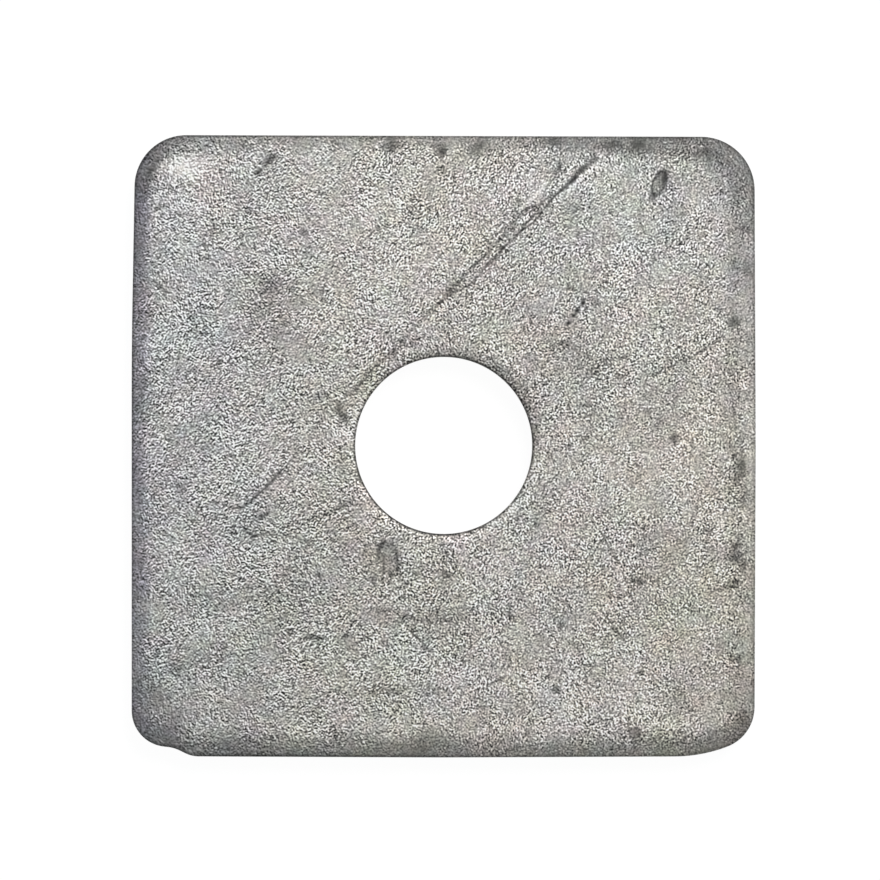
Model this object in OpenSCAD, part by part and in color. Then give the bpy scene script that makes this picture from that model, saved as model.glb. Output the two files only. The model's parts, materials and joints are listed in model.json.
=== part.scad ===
// Square plate washer for a timber or channel bolt: one piece of flat steel bar, cropped to length
// with rounded corners, punched, and hot-dip galvanised.
// Millimetres. The underside lies on Z = 0, and the bolt hole's axis is the Z axis.
// Seen from above, +X is the right side and +Y is the back side.

/* [Plate] */
// Width across the plate, left side to right side
plate_w = 50; // [40:0.5:80]
// Depth across the plate, from the front of the lip to the back side
plate_d = 50; // [40:0.5:80]
// Thickness of the bar
plate_t = 3; // [2.5:0.1:6]

/* [Corners] */
// Radius of the back left corner
back_left_r = 4; // [2.5:0.1:8]
// Radius of the back right corner
back_right_r = 4.5; // [2.5:0.1:8]
// Radius of the front left corner
front_left_r = 3.1; // [2.5:0.1:8]
// Radius of the front right corner
front_right_r = 3.6; // [2.5:0.1:8]

/* [Front lip] */
// How far the bar's own front edge stands out past the cropped front corners
lip_h = 0.7; // [0.3:0.05:1.5]
// Run from the front left corner's round to the straight of the lip
lip_left_run = 2.1; // [1.5:0.1:6]
// Radius of the lip's left end
lip_left_r = 3.7; // [2.5:0.1:4.5]
// Run from the front right corner's round to the straight of the lip
lip_right_run = 3.2; // [2.8:0.1:8]
// Radius of the lip's right end
lip_right_r = 10; // [5:0.5:12]

/* [Sheared edge] */
// Width of the die roll, where the shear dragged the upper face down
roll_w = 1.2; // [0.4:0.05:1.5]
// Depth of the die roll at the edge
roll_depth = 0.3; // [0.1:0.05:0.4]
// Height of the torn band under the burnished band
torn_h = 1.2; // [0.5:0.1:1.8]
// How far the torn band leans in at the underside
torn_in = 0.15; // [0.05:0.05:0.4]

/* [Bolt hole] */
// Diameter of the punched hole
hole_d = 14.2; // [9:0.1:22]
// Width of the roll round the hole's upper mouth
hole_roll_w = 0.8; // [0.25:0.05:1.2]
// Depth of the roll round the hole's upper mouth
hole_roll_depth = 0.2; // [0.1:0.05:0.25]
// Height of the breakout, where the hole opens out towards the underside
breakout_h = 1; // [0.5:0.1:1.8]
// How far the breakout opens out at the underside, on the radius
breakout_out = 0.12; // [0.05:0.01:0.3]

/* [Wear] */
// Width of the long gouge in the upper face, at its deep end
gouge_w = 0.45; // [0.3:0.05:1]
// Depth of the gouge at its deep end
gouge_depth = 0.09; // [0.05:0.01:0.14]
// Distance of the gouge's deep end from the right side
gouge_from_right = 12.8; // [5:0.1:20]
// Distance of the gouge's deep end from the back side
gouge_from_back = 2; // [1.5:0.1:10]
// Length over which the gouge runs out to nothing
gouge_run = 24; // [15:0.5:26]
// Direction in which the gouge runs out
gouge_heading = 223.5; // [220:0.5:228]

/* [Hidden] */
$fn = 96;
zinc = "#9b9a95";

// How far a cutting shape stands out past the face that it cuts
cut = 1;
// How far the joined pieces of the plate reach into each other
lap = 0.3;
// Width of the rim that carries the sheared edge
rim_w = roll_w + lap;

left_x = -plate_w / 2;
right_x = plate_w / 2;
lip_y = -plate_d / 2;
front_y = lip_y + lip_h;
back_y = plate_d / 2;
lip_start = left_x + front_left_r + lip_left_run;
lip_end = right_x - front_right_r - lip_right_run;
// Angle of the lip's rounded ends, enough for them to run into the plate behind
lip_left_angle = 75;
lip_right_angle = 30;

// Cropped corners of the plate, counter-clockwise from the front left: centre of the round, its radius
corners = [
    [[left_x + front_left_r, front_y + front_left_r], front_left_r],
    [[right_x - front_right_r, front_y + front_right_r], front_right_r],
    [[right_x - back_right_r, back_y - back_right_r], back_right_r],
    [[left_x + back_left_r, back_y - back_left_r], back_left_r],
];

// Deep end of the gouge
gouge_start = [right_x - gouge_from_right, back_y - gouge_from_back];

// Dents in the upper face: place, width across, depth
dents = [
    [[right_x - 7.6, back_y - 4], 1.4, 0.12],
    [[right_x - 9.4, back_y - 1.3], 0.6, 0.08],
    [(hole_d / 2 + 3) * [cos(245), sin(245)], 2, 0.1],
    [[right_x - 9.7, lip_y + 1.9], 1.1, 0.12],
];

// Radius of the arc that is this deep over this half chord
function arc_radius(half_chord, depth) = (half_chord * half_chord + depth * depth) / (2 * depth);

// Section of the sheared edge: X runs into the plate from its outline, Y runs up from the underside
module edge_section(width) {
    roll_r = arc_radius(roll_w, roll_depth);
    difference() {
        polygon([[torn_in, 0], [width, 0], [width, plate_t], [0, plate_t], [0, torn_h]]);
        difference() {
            translate([-cut, plate_t - roll_depth])
                square([cut + roll_w, roll_depth + cut]);
            translate([roll_w, plate_t - roll_r])
                circle(r = roll_r);
        }
    }
}

// Straight rim along +X from the origin, with the plate on its +Y side
module straight_rim(length, width) {
    rotate([90, 0, 90])
        linear_extrude(length)
            edge_section(width);
}

// Rounded rim about the origin, from the -Y direction round towards +X
module round_rim(radius, angle) {
    rotate(-90)
        rotate_extrude(angle = angle)
            translate([radius, 0])
                mirror([1, 0])
                    edge_section(radius - lap);
}

// Plate as the crop left it, with its four rounded corners and the sheared edge all round
module cropped_plate() {
    for (i = [0 : 3]) {
        centre = corners[i][0];
        next_centre = corners[(i + 1) % 4][0];
        outward = [[0, -1], [1, 0], [0, 1], [-1, 0]][i];
        along = [-outward[1], outward[0]];
        translate(centre + corners[i][1] * outward)
            rotate(90 * i)
                straight_rim((next_centre - centre) * along, rim_w);
        translate(centre)
            rotate(90 * (i - 1))
                round_rim(corners[i][1], 90);
    }
    linear_extrude(plate_t)
        polygon([
            [corners[0][0][0], front_y + rim_w],
            [corners[1][0][0], front_y + rim_w],
            [right_x - rim_w, corners[1][0][1]],
            [right_x - rim_w, corners[2][0][1]],
            [corners[2][0][0], back_y - rim_w],
            [corners[3][0][0], back_y - rim_w],
            [left_x + rim_w, corners[3][0][1]],
            [left_x + rim_w, corners[0][0][1]],
        ]);
}

// Lip along the front: the bar's own edge, past the reach of the corner crop
module front_lip() {
    translate([lip_start, lip_y])
        straight_rim(lip_end - lip_start, lip_h + rim_w + lap);
    translate([lip_start, lip_y + lip_left_r])
        mirror([1, 0])
            round_rim(lip_left_r, lip_left_angle);
    translate([lip_end, lip_y + lip_right_r])
        round_rim(lip_right_r, lip_right_angle);
}

// Punched hole: roll at the upper mouth, straight burnished wall, breakout towards the underside
module bolt_hole_cut() {
    hole_r = hole_d / 2;
    roll_r = arc_radius(hole_roll_w, hole_roll_depth);
    rotate_extrude() {
        square([hole_r, plate_t + cut]);
        polygon([
            [0, -cut],
            [hole_r + breakout_out, -cut],
            [hole_r + breakout_out, 0],
            [hole_r, breakout_h],
            [0, breakout_h],
        ]);
        difference() {
            translate([hole_r - lap, plate_t - hole_roll_depth])
                square([lap + hole_roll_w, hole_roll_depth + cut]);
            translate([hole_r + hole_roll_w, plate_t - roll_r])
                circle(r = roll_r);
        }
    }
}

// Long gouge: a lying cylinder that rises out of the upper face as it runs
module gouge_cut() {
    gouge_r = arc_radius(gouge_w / 2, gouge_depth);
    translate([gouge_start[0], gouge_start[1], plate_t + gouge_r - gouge_depth])
        rotate([0, 90 - atan(gouge_depth / gouge_run), gouge_heading])
            cylinder(r = gouge_r, h = gouge_run);
}

// One dent: a ball pressed into the upper face
module dent_cut(dent) {
    place = dent[0];
    depth = dent[2];
    ball_r = arc_radius(dent[1] / 2, depth);
    translate([place[0], place[1], plate_t + ball_r - depth])
        sphere(r = ball_r);
}

module plate() {
    color(zinc)
        difference() {
            union() {
                cropped_plate();
                front_lip();
            }
            bolt_hole_cut();
            gouge_cut();
            for (dent = dents)
                dent_cut(dent);
        }
}

plate();
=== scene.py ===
"""Square plate washer: one piece of galvanised steel bar, cropped, punched and worn.

Sizes are in millimetres until a mesh is made. The scene is in metres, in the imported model's frame:
the underside lies on Z = 0, the bolt hole's axis is Z, +X is the right side and +Y the back side.
"""

import json
import logging
import math
from dataclasses import dataclass, field
from enum import Enum

import bpy
import numpy as np
import numpy.typing as npt
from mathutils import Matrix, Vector
from mathutils.geometry import delaunay_2d_cdt


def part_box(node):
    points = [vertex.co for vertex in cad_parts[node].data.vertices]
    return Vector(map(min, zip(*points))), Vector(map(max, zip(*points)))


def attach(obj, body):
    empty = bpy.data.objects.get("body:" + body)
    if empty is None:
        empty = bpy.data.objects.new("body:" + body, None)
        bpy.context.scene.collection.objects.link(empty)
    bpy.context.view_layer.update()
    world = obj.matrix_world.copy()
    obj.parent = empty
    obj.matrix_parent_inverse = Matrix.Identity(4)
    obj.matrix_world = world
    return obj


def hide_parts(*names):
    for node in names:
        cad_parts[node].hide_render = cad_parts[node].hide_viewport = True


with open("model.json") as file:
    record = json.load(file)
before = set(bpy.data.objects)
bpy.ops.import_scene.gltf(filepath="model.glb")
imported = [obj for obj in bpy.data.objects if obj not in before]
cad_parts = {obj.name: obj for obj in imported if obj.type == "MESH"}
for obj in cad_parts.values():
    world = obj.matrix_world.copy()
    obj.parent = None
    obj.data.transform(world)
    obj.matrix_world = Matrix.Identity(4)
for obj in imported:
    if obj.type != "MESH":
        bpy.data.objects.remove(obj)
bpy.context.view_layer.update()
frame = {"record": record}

Floats = npt.NDArray[np.float64]
Ints = npt.NDArray[np.int64]
Bools = npt.NDArray[np.bool_]
Point = tuple[float, float]
Colour = tuple[float, float, float]
Stretch = tuple[float, float, float]

log = logging.getLogger("washer")

MM = 0.001
BAKE_MAP = "OFBake"


class Layer(Enum):
    """Values that the mesh carries for its material; its colour holds painted light and shade besides the
    zinc's own tints.
    """

    # The colour, with painted shade and highlights of the rolled edges and other painted light
    TINT_AND_PAINTED_LIGHT = "zinc_tint"
    GRAIN = "grain_gain"
    HEADING = "crinkle_heading"
    RUN = "crinkle_run"
    DRAG = "shear_drag"
    PLACE = "grain_place"


class Hue(Enum):
    """What the hues add to red, green and blue at full strength: the zinc's own hues, a painted cool shade
    and a painted warm light.
    """

    WARM = (0.053, 0.005, -0.056)
    YELLOW = (0.018, 0.016, -0.03)
    GREEN = (-0.008, 0.004, -0.01)
    # Painted cool shade on the left rolled edge
    PAINTED_COOL_SHADE = (-0.017, -0.03, 0.047)
    ROSE = (0.016, -0.008, 0.0)
    # Painted warm light on the lit part of the hole's rolled mouth
    PAINTED_WARM_LIGHT = (0.0, 0.0, -0.05)
    PINK = (0.022, -0.013, 0.0)
    GOLD = (0.008, 0.004, -0.025)


class Side(Enum):
    """The four surfaces of the plate."""

    UPPER = 0
    LOWER = 1
    OUTER = 2
    HOLE = 3


def bell(offset: Floats, width: float) -> Floats:
    """Smooth hump: 1 in the middle, about 0.37 at this width from it, then nothing."""
    return np.exp(-np.square(offset / width))


def ease(value: Floats, start: float, end: float) -> Floats:
    """Smooth step from 0 at start to 1 at end."""
    part = np.clip((value - start) / (end - start), 0.0, 1.0)
    return part * part * (3.0 - 2.0 * part)


def arc_drop(distance: Floats, width: float, depth: float) -> Floats:
    """Depth of a rolled edge.

    Args:
        distance: distance in from the edge.
        width: where the roll meets the flat face.
        depth: how far the edge itself is dragged down.

    Returns:
        The depth below the flat face, along an arc that is tangent to it.
    """
    radius = (width * width + depth * depth) / (2.0 * depth)
    run = np.clip(width - distance, 0.0, width)
    return radius - np.sqrt(radius * radius - run * run)


@dataclass(frozen=True)
class LumpNoise:
    """Smooth seeded unevenness.

    Attributes:
        cell: spacing of the lumps, mm.
        seed: seed of the lumps.
        swing: how far it goes either side of 0.
        reach: half the width of the area that it covers, mm.
    """

    cell: float
    seed: int
    swing: float = 1.0
    reach: float = 30.0

    def at(self, places: Floats) -> Floats:
        """Height of the lumps.

        Args:
            places: one row of two coordinates for each place.

        Returns:
            One value for each place.
        """
        count = int(2.0 * self.reach / self.cell) + 3
        knots = np.random.default_rng(self.seed).uniform(-1.0, 1.0, (count, count))
        grid = (places + self.reach) / self.cell
        base = np.clip(np.floor(grid).astype(int), 0, count - 2)
        part = grid - base
        part = part * part * (3.0 - 2.0 * part)
        column, row = base[:, 0], base[:, 1]
        near = knots[column, row] * (1.0 - part[:, 0]) + knots[column + 1, row] * part[:, 0]
        far = knots[column, row + 1] * (1.0 - part[:, 0]) + knots[column + 1, row + 1] * part[:, 0]
        return self.swing * (near * (1.0 - part[:, 1]) + far * part[:, 1])


def total(lumps: tuple[LumpNoise, ...], places: Floats) -> Floats:
    """Sum of coarse and fine unevenness, one value for each place."""
    return np.sum([noise.at(places) for noise in lumps], axis=0)


# Reach of the unevenness along the outer wall, mm, and about half the wall's length
WALL_REACH = 110.0
WALL_HALF = 100.0

# Unevenness in mm: the two faces, the lines where the walls tore, and the torn metal under those lines
FACE_LUMPS = (LumpNoise(2.1, 11, 0.008), LumpNoise(0.8, 12, 0.004))
UNDERSIDE_LUMPS = (LumpNoise(2.4, 41, 0.006),)
TEAR_LUMPS = (LumpNoise(3.7, 21, 0.16, WALL_REACH), LumpNoise(0.9, 22, 0.08, WALL_REACH))
TORN_LUMPS = (LumpNoise(0.7, 23, 0.035, WALL_REACH),)
BREAK_LUMPS = (LumpNoise(4.0, 31, 0.2), LumpNoise(1.1, 32, 0.1))
BREAKOUT_LUMPS = (LumpNoise(0.6, 33, 0.03),)

# Unevenness as shares: brightness, width of the painted bands of edge shade, the grain's strength and run,
# and two hues
MOTTLE_LUMPS = (LumpNoise(5.3, 51, 0.03), LumpNoise(2.2, 52, 0.1), LumpNoise(1.0, 53, 0.13))
BAND_LUMPS = (LumpNoise(1.7, 54, 0.25),)
GRAIN_LUMPS = (LumpNoise(3.4, 63, 0.2), LumpNoise(0.9, 64, 0.4))
RUN_LUMPS = (LumpNoise(1.6, 65),)
PINK_LUMPS = (LumpNoise(2.8, 61), LumpNoise(1.2, 62), LumpNoise(0.55, 66))
GOLD_LUMPS = (LumpNoise(2.4, 69), LumpNoise(1.0, 68), LumpNoise(0.5, 67))

# Where ragged scratches are broken
RAGGED_LUMPS = (LumpNoise(0.45, 71),)


@dataclass(frozen=True)
class Scratch:
    """A groove along a path, which may run out towards its end.

    Attributes:
        path: points along the groove, mm, from its deep end.
        width: half width of the groove at the start, mm.
        end_width: half width at the end, mm.
        depth: depth at the start, mm.
        shade: brightness of the groove at the start, beside the face.
        end: share of the depth and shade left at the end.
        burr: height of the ridge pushed up on the left of the path, mm.
        gleam: brightness of that ridge, beside the face.
        ragged: how broken the groove is, from 0 to 1.
        smear: share of the grain lost in the groove.
    """

    path: tuple[Point, ...]
    width: float
    end_width: float
    depth: float = 0.0
    shade: float = 1.0
    end: float = 0.3
    burr: float = 0.0
    gleam: float = 1.0
    ragged: float = 0.0
    smear: float = 0.0

    # In half widths from the path: the ridge and its spread, and how far the mesh has to be fine
    RIDGE_AT = 1.6
    RIDGE_SPREAD = 0.8
    FINE_REACH = 2.2

    def across(self, places: Floats) -> tuple[Floats, Floats]:
        """Where places lie beside the path.

        Args:
            places: points on the face, mm.

        Returns:
            The offset from the path, positive on its left, and the share of the path that is behind it.
        """
        knots = np.array(self.path)
        steps = np.diff(knots, axis=0)
        lengths = np.hypot(steps[:, 0], steps[:, 1])
        started = np.concatenate([[0.0], np.cumsum(lengths)])
        best = np.full(len(places), np.inf)
        offset = np.full(len(places), np.inf)
        share = np.zeros(len(places))
        for knot, step, length, start in zip(knots[:-1], steps, lengths, started[:-1]):
            along = step / length
            gap = places - knot
            run = np.clip(gap @ along, 0.0, length)
            away = np.hypot(*(gap - run[:, None] * along).T)
            side = np.where(along[0] * gap[:, 1] - along[1] * gap[:, 0] >= 0.0, 1.0, -1.0)
            closer = away < best
            best = np.where(closer, away, best)
            offset = np.where(closer, away * side, offset)
            share = np.where(closer, (start + run) / started[-1], share)
        return offset, share

    def strength(self, places: Floats, share: Floats) -> Floats:
        """How much of the scratch is left along its path, between 0 and 1."""
        left = 1.0 + (self.end - 1.0) * share
        broken = ease(total(RAGGED_LUMPS, places), -0.2, 0.3)
        return left * (1.0 - self.ragged * broken)

    def spread(self, share: Floats) -> Floats:
        """Half width of the groove along its path, mm."""
        return self.width + (self.end_width - self.width) * share

    def core(self, places: Floats) -> Bools:
        """Places close enough to need a fine mesh."""
        if self.depth == 0.0:
            return np.zeros(len(places), bool)
        offset, share = self.across(places)
        return np.abs(offset) < self.FINE_REACH * self.spread(share)

    def height(self, places: Floats) -> Floats:
        """Height that the scratch adds, mm."""
        offset, share = self.across(places)
        beside = offset / self.spread(share)
        groove = -self.depth * bell(beside, 1.0)
        ridge = self.burr * bell(beside - self.RIDGE_AT, self.RIDGE_SPREAD)
        return (groove + ridge) * self.strength(places, share)

    def brightness(self, places: Floats) -> Floats:
        """Brightness that the scratch multiplies the face by."""
        offset, share = self.across(places)
        beside = offset / self.spread(share)
        dark = (self.shade - 1.0) * bell(beside, 1.0)
        light = (self.gleam - 1.0) * bell(beside - self.RIDGE_AT, self.RIDGE_SPREAD)
        return 1.0 + (dark + light) * self.strength(places, share)

    def plain(self, places: Floats) -> Floats:
        """Share of the grain that the scratch smears away."""
        offset, share = self.across(places)
        return self.smear * bell(offset / self.spread(share), 1.0) * self.strength(places, share)


@dataclass(frozen=True)
class Dent:
    """An oval dent, or with no depth an oval stain.

    Attributes:
        centre: middle of the oval, mm.
        length: half length of the oval, mm.
        width: half width of the oval, mm.
        heading: direction of its length, degrees.
        depth: depth in the middle, mm.
        shade: brightness inside, beside the face.
        rim: brightness of the line round it, beside the face.
        smear: share of the grain lost inside, below 0 where the grain is stronger.
    """

    centre: Point
    length: float
    width: float
    heading: float = 0.0
    depth: float = 0.0
    shade: float = 1.0
    rim: float = 1.0
    smear: float = 0.0

    # In radii of the oval: its flat bottom, its lip, the line round it and that line's spread, the fine mesh
    BOTTOM = 0.35
    LIP = 1.2
    LINE_AT = 0.95
    LINE_SPREAD = 0.22
    FINE_REACH = 1.4

    def radius(self, places: Floats) -> Floats:
        """Distance from the middle, 1 on the oval itself."""
        turn = math.radians(self.heading)
        gap = places - np.array(self.centre)
        along = gap[:, 0] * math.cos(turn) + gap[:, 1] * math.sin(turn)
        beside = gap[:, 1] * math.cos(turn) - gap[:, 0] * math.sin(turn)
        return np.hypot(along / self.length, beside / self.width)

    def core(self, places: Floats) -> Bools:
        """Places close enough to need a fine mesh."""
        if self.depth == 0.0:
            return np.zeros(len(places), bool)
        return self.radius(places) < self.FINE_REACH

    def height(self, places: Floats) -> Floats:
        """Height that the dent adds, mm."""
        return -self.depth * (1.0 - ease(self.radius(places), self.BOTTOM, self.LIP))

    def brightness(self, places: Floats) -> Floats:
        """Brightness that the dent multiplies the face by."""
        radius = self.radius(places)
        inside = (self.shade - 1.0) * np.exp(-np.power(radius, 3.0))
        line = (self.rim - 1.0) * bell(radius - self.LINE_AT, self.LINE_SPREAD)
        return 1.0 + inside + line

    def plain(self, places: Floats) -> Floats:
        """Share of the grain that is smeared away."""
        return self.smear * np.exp(-np.power(self.radius(places), 3.0))


Mark = Scratch | Dent


@dataclass(frozen=True)
class Corner:
    """A corner of the outline's polygon and the radius that rounds it, mm."""

    x: float
    y: float
    radius: float


@dataclass(frozen=True)
class Outline:
    """Outline of the plate from above, as the shear and the corner crop left it.

    Attributes:
        left, right, front, back: the sides of its box, mm.
        left_lean, lean_start: how far the left side leans in towards the back, and where it starts to.
        right_bow: how far the right side's ends stand in from its middle.
        back_drop, back_lean: how far the back side stands in at its left, and how much more at its right.
        front_bow: how far the front side's ends stand back from its middle.
        bow_r: radius in the middle of a bow.
        back_left_r, back_right_r, front_left_r, front_right_r: radii of the corners.
        crop_slope, crop_flat: slope of the front left crop's foot, degrees, and its straight.
        step_h, step_slope: height of the step from that crop down to the front side, and its slope.
        step_head_r, step_foot_r: radii of the step's hollow head and round foot.
        ease_slope, ease_r: slope of the front right corner's run into the front side, and its radius.
        ease_flat: straight between that radius and the corner's.
    """

    left: float
    right: float
    front: float
    back: float
    left_lean: float = 0.3
    lean_start: float = 8.0
    right_bow: float = 0.1
    back_drop: float = 0.12
    back_lean: float = 0.16
    front_bow: float = 0.09
    bow_r: float = 400.0
    back_left_r: float = 4.15
    back_right_r: float = 4.3
    front_left_r: float = 2.9
    front_right_r: float = 3.4
    crop_slope: float = 6.0
    crop_flat: float = 0.26
    step_h: float = 0.7
    step_slope: float = 26.0
    step_head_r: float = 3.0
    step_foot_r: float = 2.4
    ease_slope: float = 20.0
    ease_r: float = 12.0
    ease_flat: float = 0.1

    @staticmethod
    def tangent(radius: float, turn: float) -> float:
        """Length of a round's tangent for a turn in degrees."""
        return radius * math.tan(math.radians(abs(turn)) / 2.0)

    def corners(self) -> list[Corner]:
        """Corners of the polygon, counter-clockwise from the front left."""
        front_end = self.front + self.front_bow
        crop = math.radians(self.crop_slope)
        crop_len = (
            self.tangent(self.front_left_r, 90.0 - self.crop_slope)
            + self.crop_flat
            + self.tangent(self.step_head_r, self.step_slope - self.crop_slope)
        )
        crop_y = front_end + self.step_h + crop_len * math.sin(crop)
        step_x = self.left + crop_len * math.cos(crop)
        foot_x = step_x + self.step_h / math.tan(math.radians(self.step_slope))
        slope = math.radians(self.ease_slope)
        ease_len = (
            self.tangent(self.front_right_r, 90.0 - self.ease_slope)
            + self.ease_flat
            + self.tangent(self.ease_r, self.ease_slope)
        )
        right_end = self.right - self.right_bow
        back_left = self.back - self.back_drop
        return [
            Corner(self.left, crop_y, self.front_left_r),
            Corner(step_x, front_end + self.step_h, self.step_head_r),
            Corner(foot_x, front_end, self.step_foot_r),
            Corner(0.0, self.front, self.bow_r),
            Corner(right_end - ease_len * math.cos(slope), front_end, self.ease_r),
            Corner(right_end, front_end + ease_len * math.sin(slope), self.front_right_r),
            Corner(self.right, 0.0, self.bow_r),
            Corner(right_end, back_left - self.back_lean, self.back_right_r),
            Corner(self.left + self.left_lean, back_left, self.back_left_r),
            Corner(self.left, self.lean_start, self.bow_r),
        ]

    def trace(self, spacing: float) -> tuple[Floats, Floats]:
        """Walks round the outline once.

        Args:
            spacing: distance between points, mm.

        Returns:
            The points and the directions into the plate, one row each.
        """
        corners = self.corners()
        knots = np.array([(corner.x, corner.y) for corner in corners])
        ahead = np.roll(knots, -1, axis=0) - knots
        ahead /= np.hypot(ahead[:, 0], ahead[:, 1])[:, None]
        points: list[Floats] = []
        inward: list[Floats] = []
        line_start = np.zeros(2)
        first_start = np.zeros(2)
        for index, corner in enumerate(corners):
            before = ahead[index - 1]
            after = ahead[index]
            turn = math.atan2(before[0] * after[1] - before[1] * after[0], float(before @ after))
            reach = corner.radius * math.tan(abs(turn) / 2.0)
            begin = knots[index] - before * reach
            if index == 0:
                first_start = begin
            else:
                self.add_line(line_start, begin, spacing, points, inward)
            side = math.copysign(1.0, turn)
            inner = np.array([-before[1], before[0]])
            centre = begin + inner * corner.radius * side
            steps = max(3, round(abs(turn) * corner.radius / spacing))
            for swing in np.arange(steps) * turn / steps:
                cos, sin = math.cos(swing), math.sin(swing)
                normal = np.array([inner[0] * cos - inner[1] * sin, inner[0] * sin + inner[1] * cos])
                points.append(centre - normal * corner.radius * side)
                inward.append(normal)
            line_start = knots[index] + after * reach
        self.add_line(line_start, first_start, spacing, points, inward)
        return np.array(points), np.array(inward)

    @staticmethod
    def add_line(
        start: Floats, end: Floats, spacing: float, points: list[Floats], inward: list[Floats]
    ) -> None:
        """Adds a straight to the walk, without its last point.

        Args:
            start: first point of the straight.
            end: first point of the round after it.
            spacing: distance between points, mm.
            points: points so far, which it adds to.
            inward: directions into the plate so far, which it adds to.
        """
        run = end - start
        length = float(np.hypot(run[0], run[1]))
        steps = max(1, round(length / spacing))
        for share in np.arange(steps) / steps:
            points.append(start + run * share)
            inward.append(np.array([-run[1], run[0]]) / length)


@dataclass
class Shell:
    """Points and faces of the plate's mesh as it grows."""

    places: list[Floats] = field(default_factory=list)
    faces: list[Ints] = field(default_factory=list)
    sides: list[Ints] = field(default_factory=list)
    count: int = 0

    def add_points(self, places: Floats) -> Ints:
        """Adds points in mm and returns their numbers."""
        self.places.append(places)
        numbers = np.arange(self.count, self.count + len(places))
        self.count += len(places)
        return numbers

    def add_faces(self, faces: Ints, side: Side) -> None:
        """Adds triangles of one surface."""
        self.faces.append(faces)
        self.sides.append(np.full(len(faces), side.value))

    def add_band(self, upper: Ints, lower: Ints, side: Side) -> None:
        """Adds the triangles between two rings that run counter-clockwise round solid metal.

        Args:
            upper: numbers of the upper ring's points.
            lower: numbers of the lower ring's points, as many.
            side: surface that the band is on.
        """
        upper_next = np.roll(upper, -1)
        lower_next = np.roll(lower, -1)
        first = np.stack([upper, lower, lower_next], axis=1)
        second = np.stack([upper, lower_next, upper_next], axis=1)
        self.add_faces(np.concatenate([first, second]), side)


@dataclass(frozen=True)
class Lumps:
    """A plain noise in the zinc or on the walls.

    Attributes:
        pitch: size of the lumps, mm.
        stretch: what the axes are multiplied by, so less than 1 is longer.
        wander: how far the lumps wander.
    """

    pitch: float
    stretch: Stretch = (1.0, 1.0, 1.0)
    wander: float = 0.0


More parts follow.
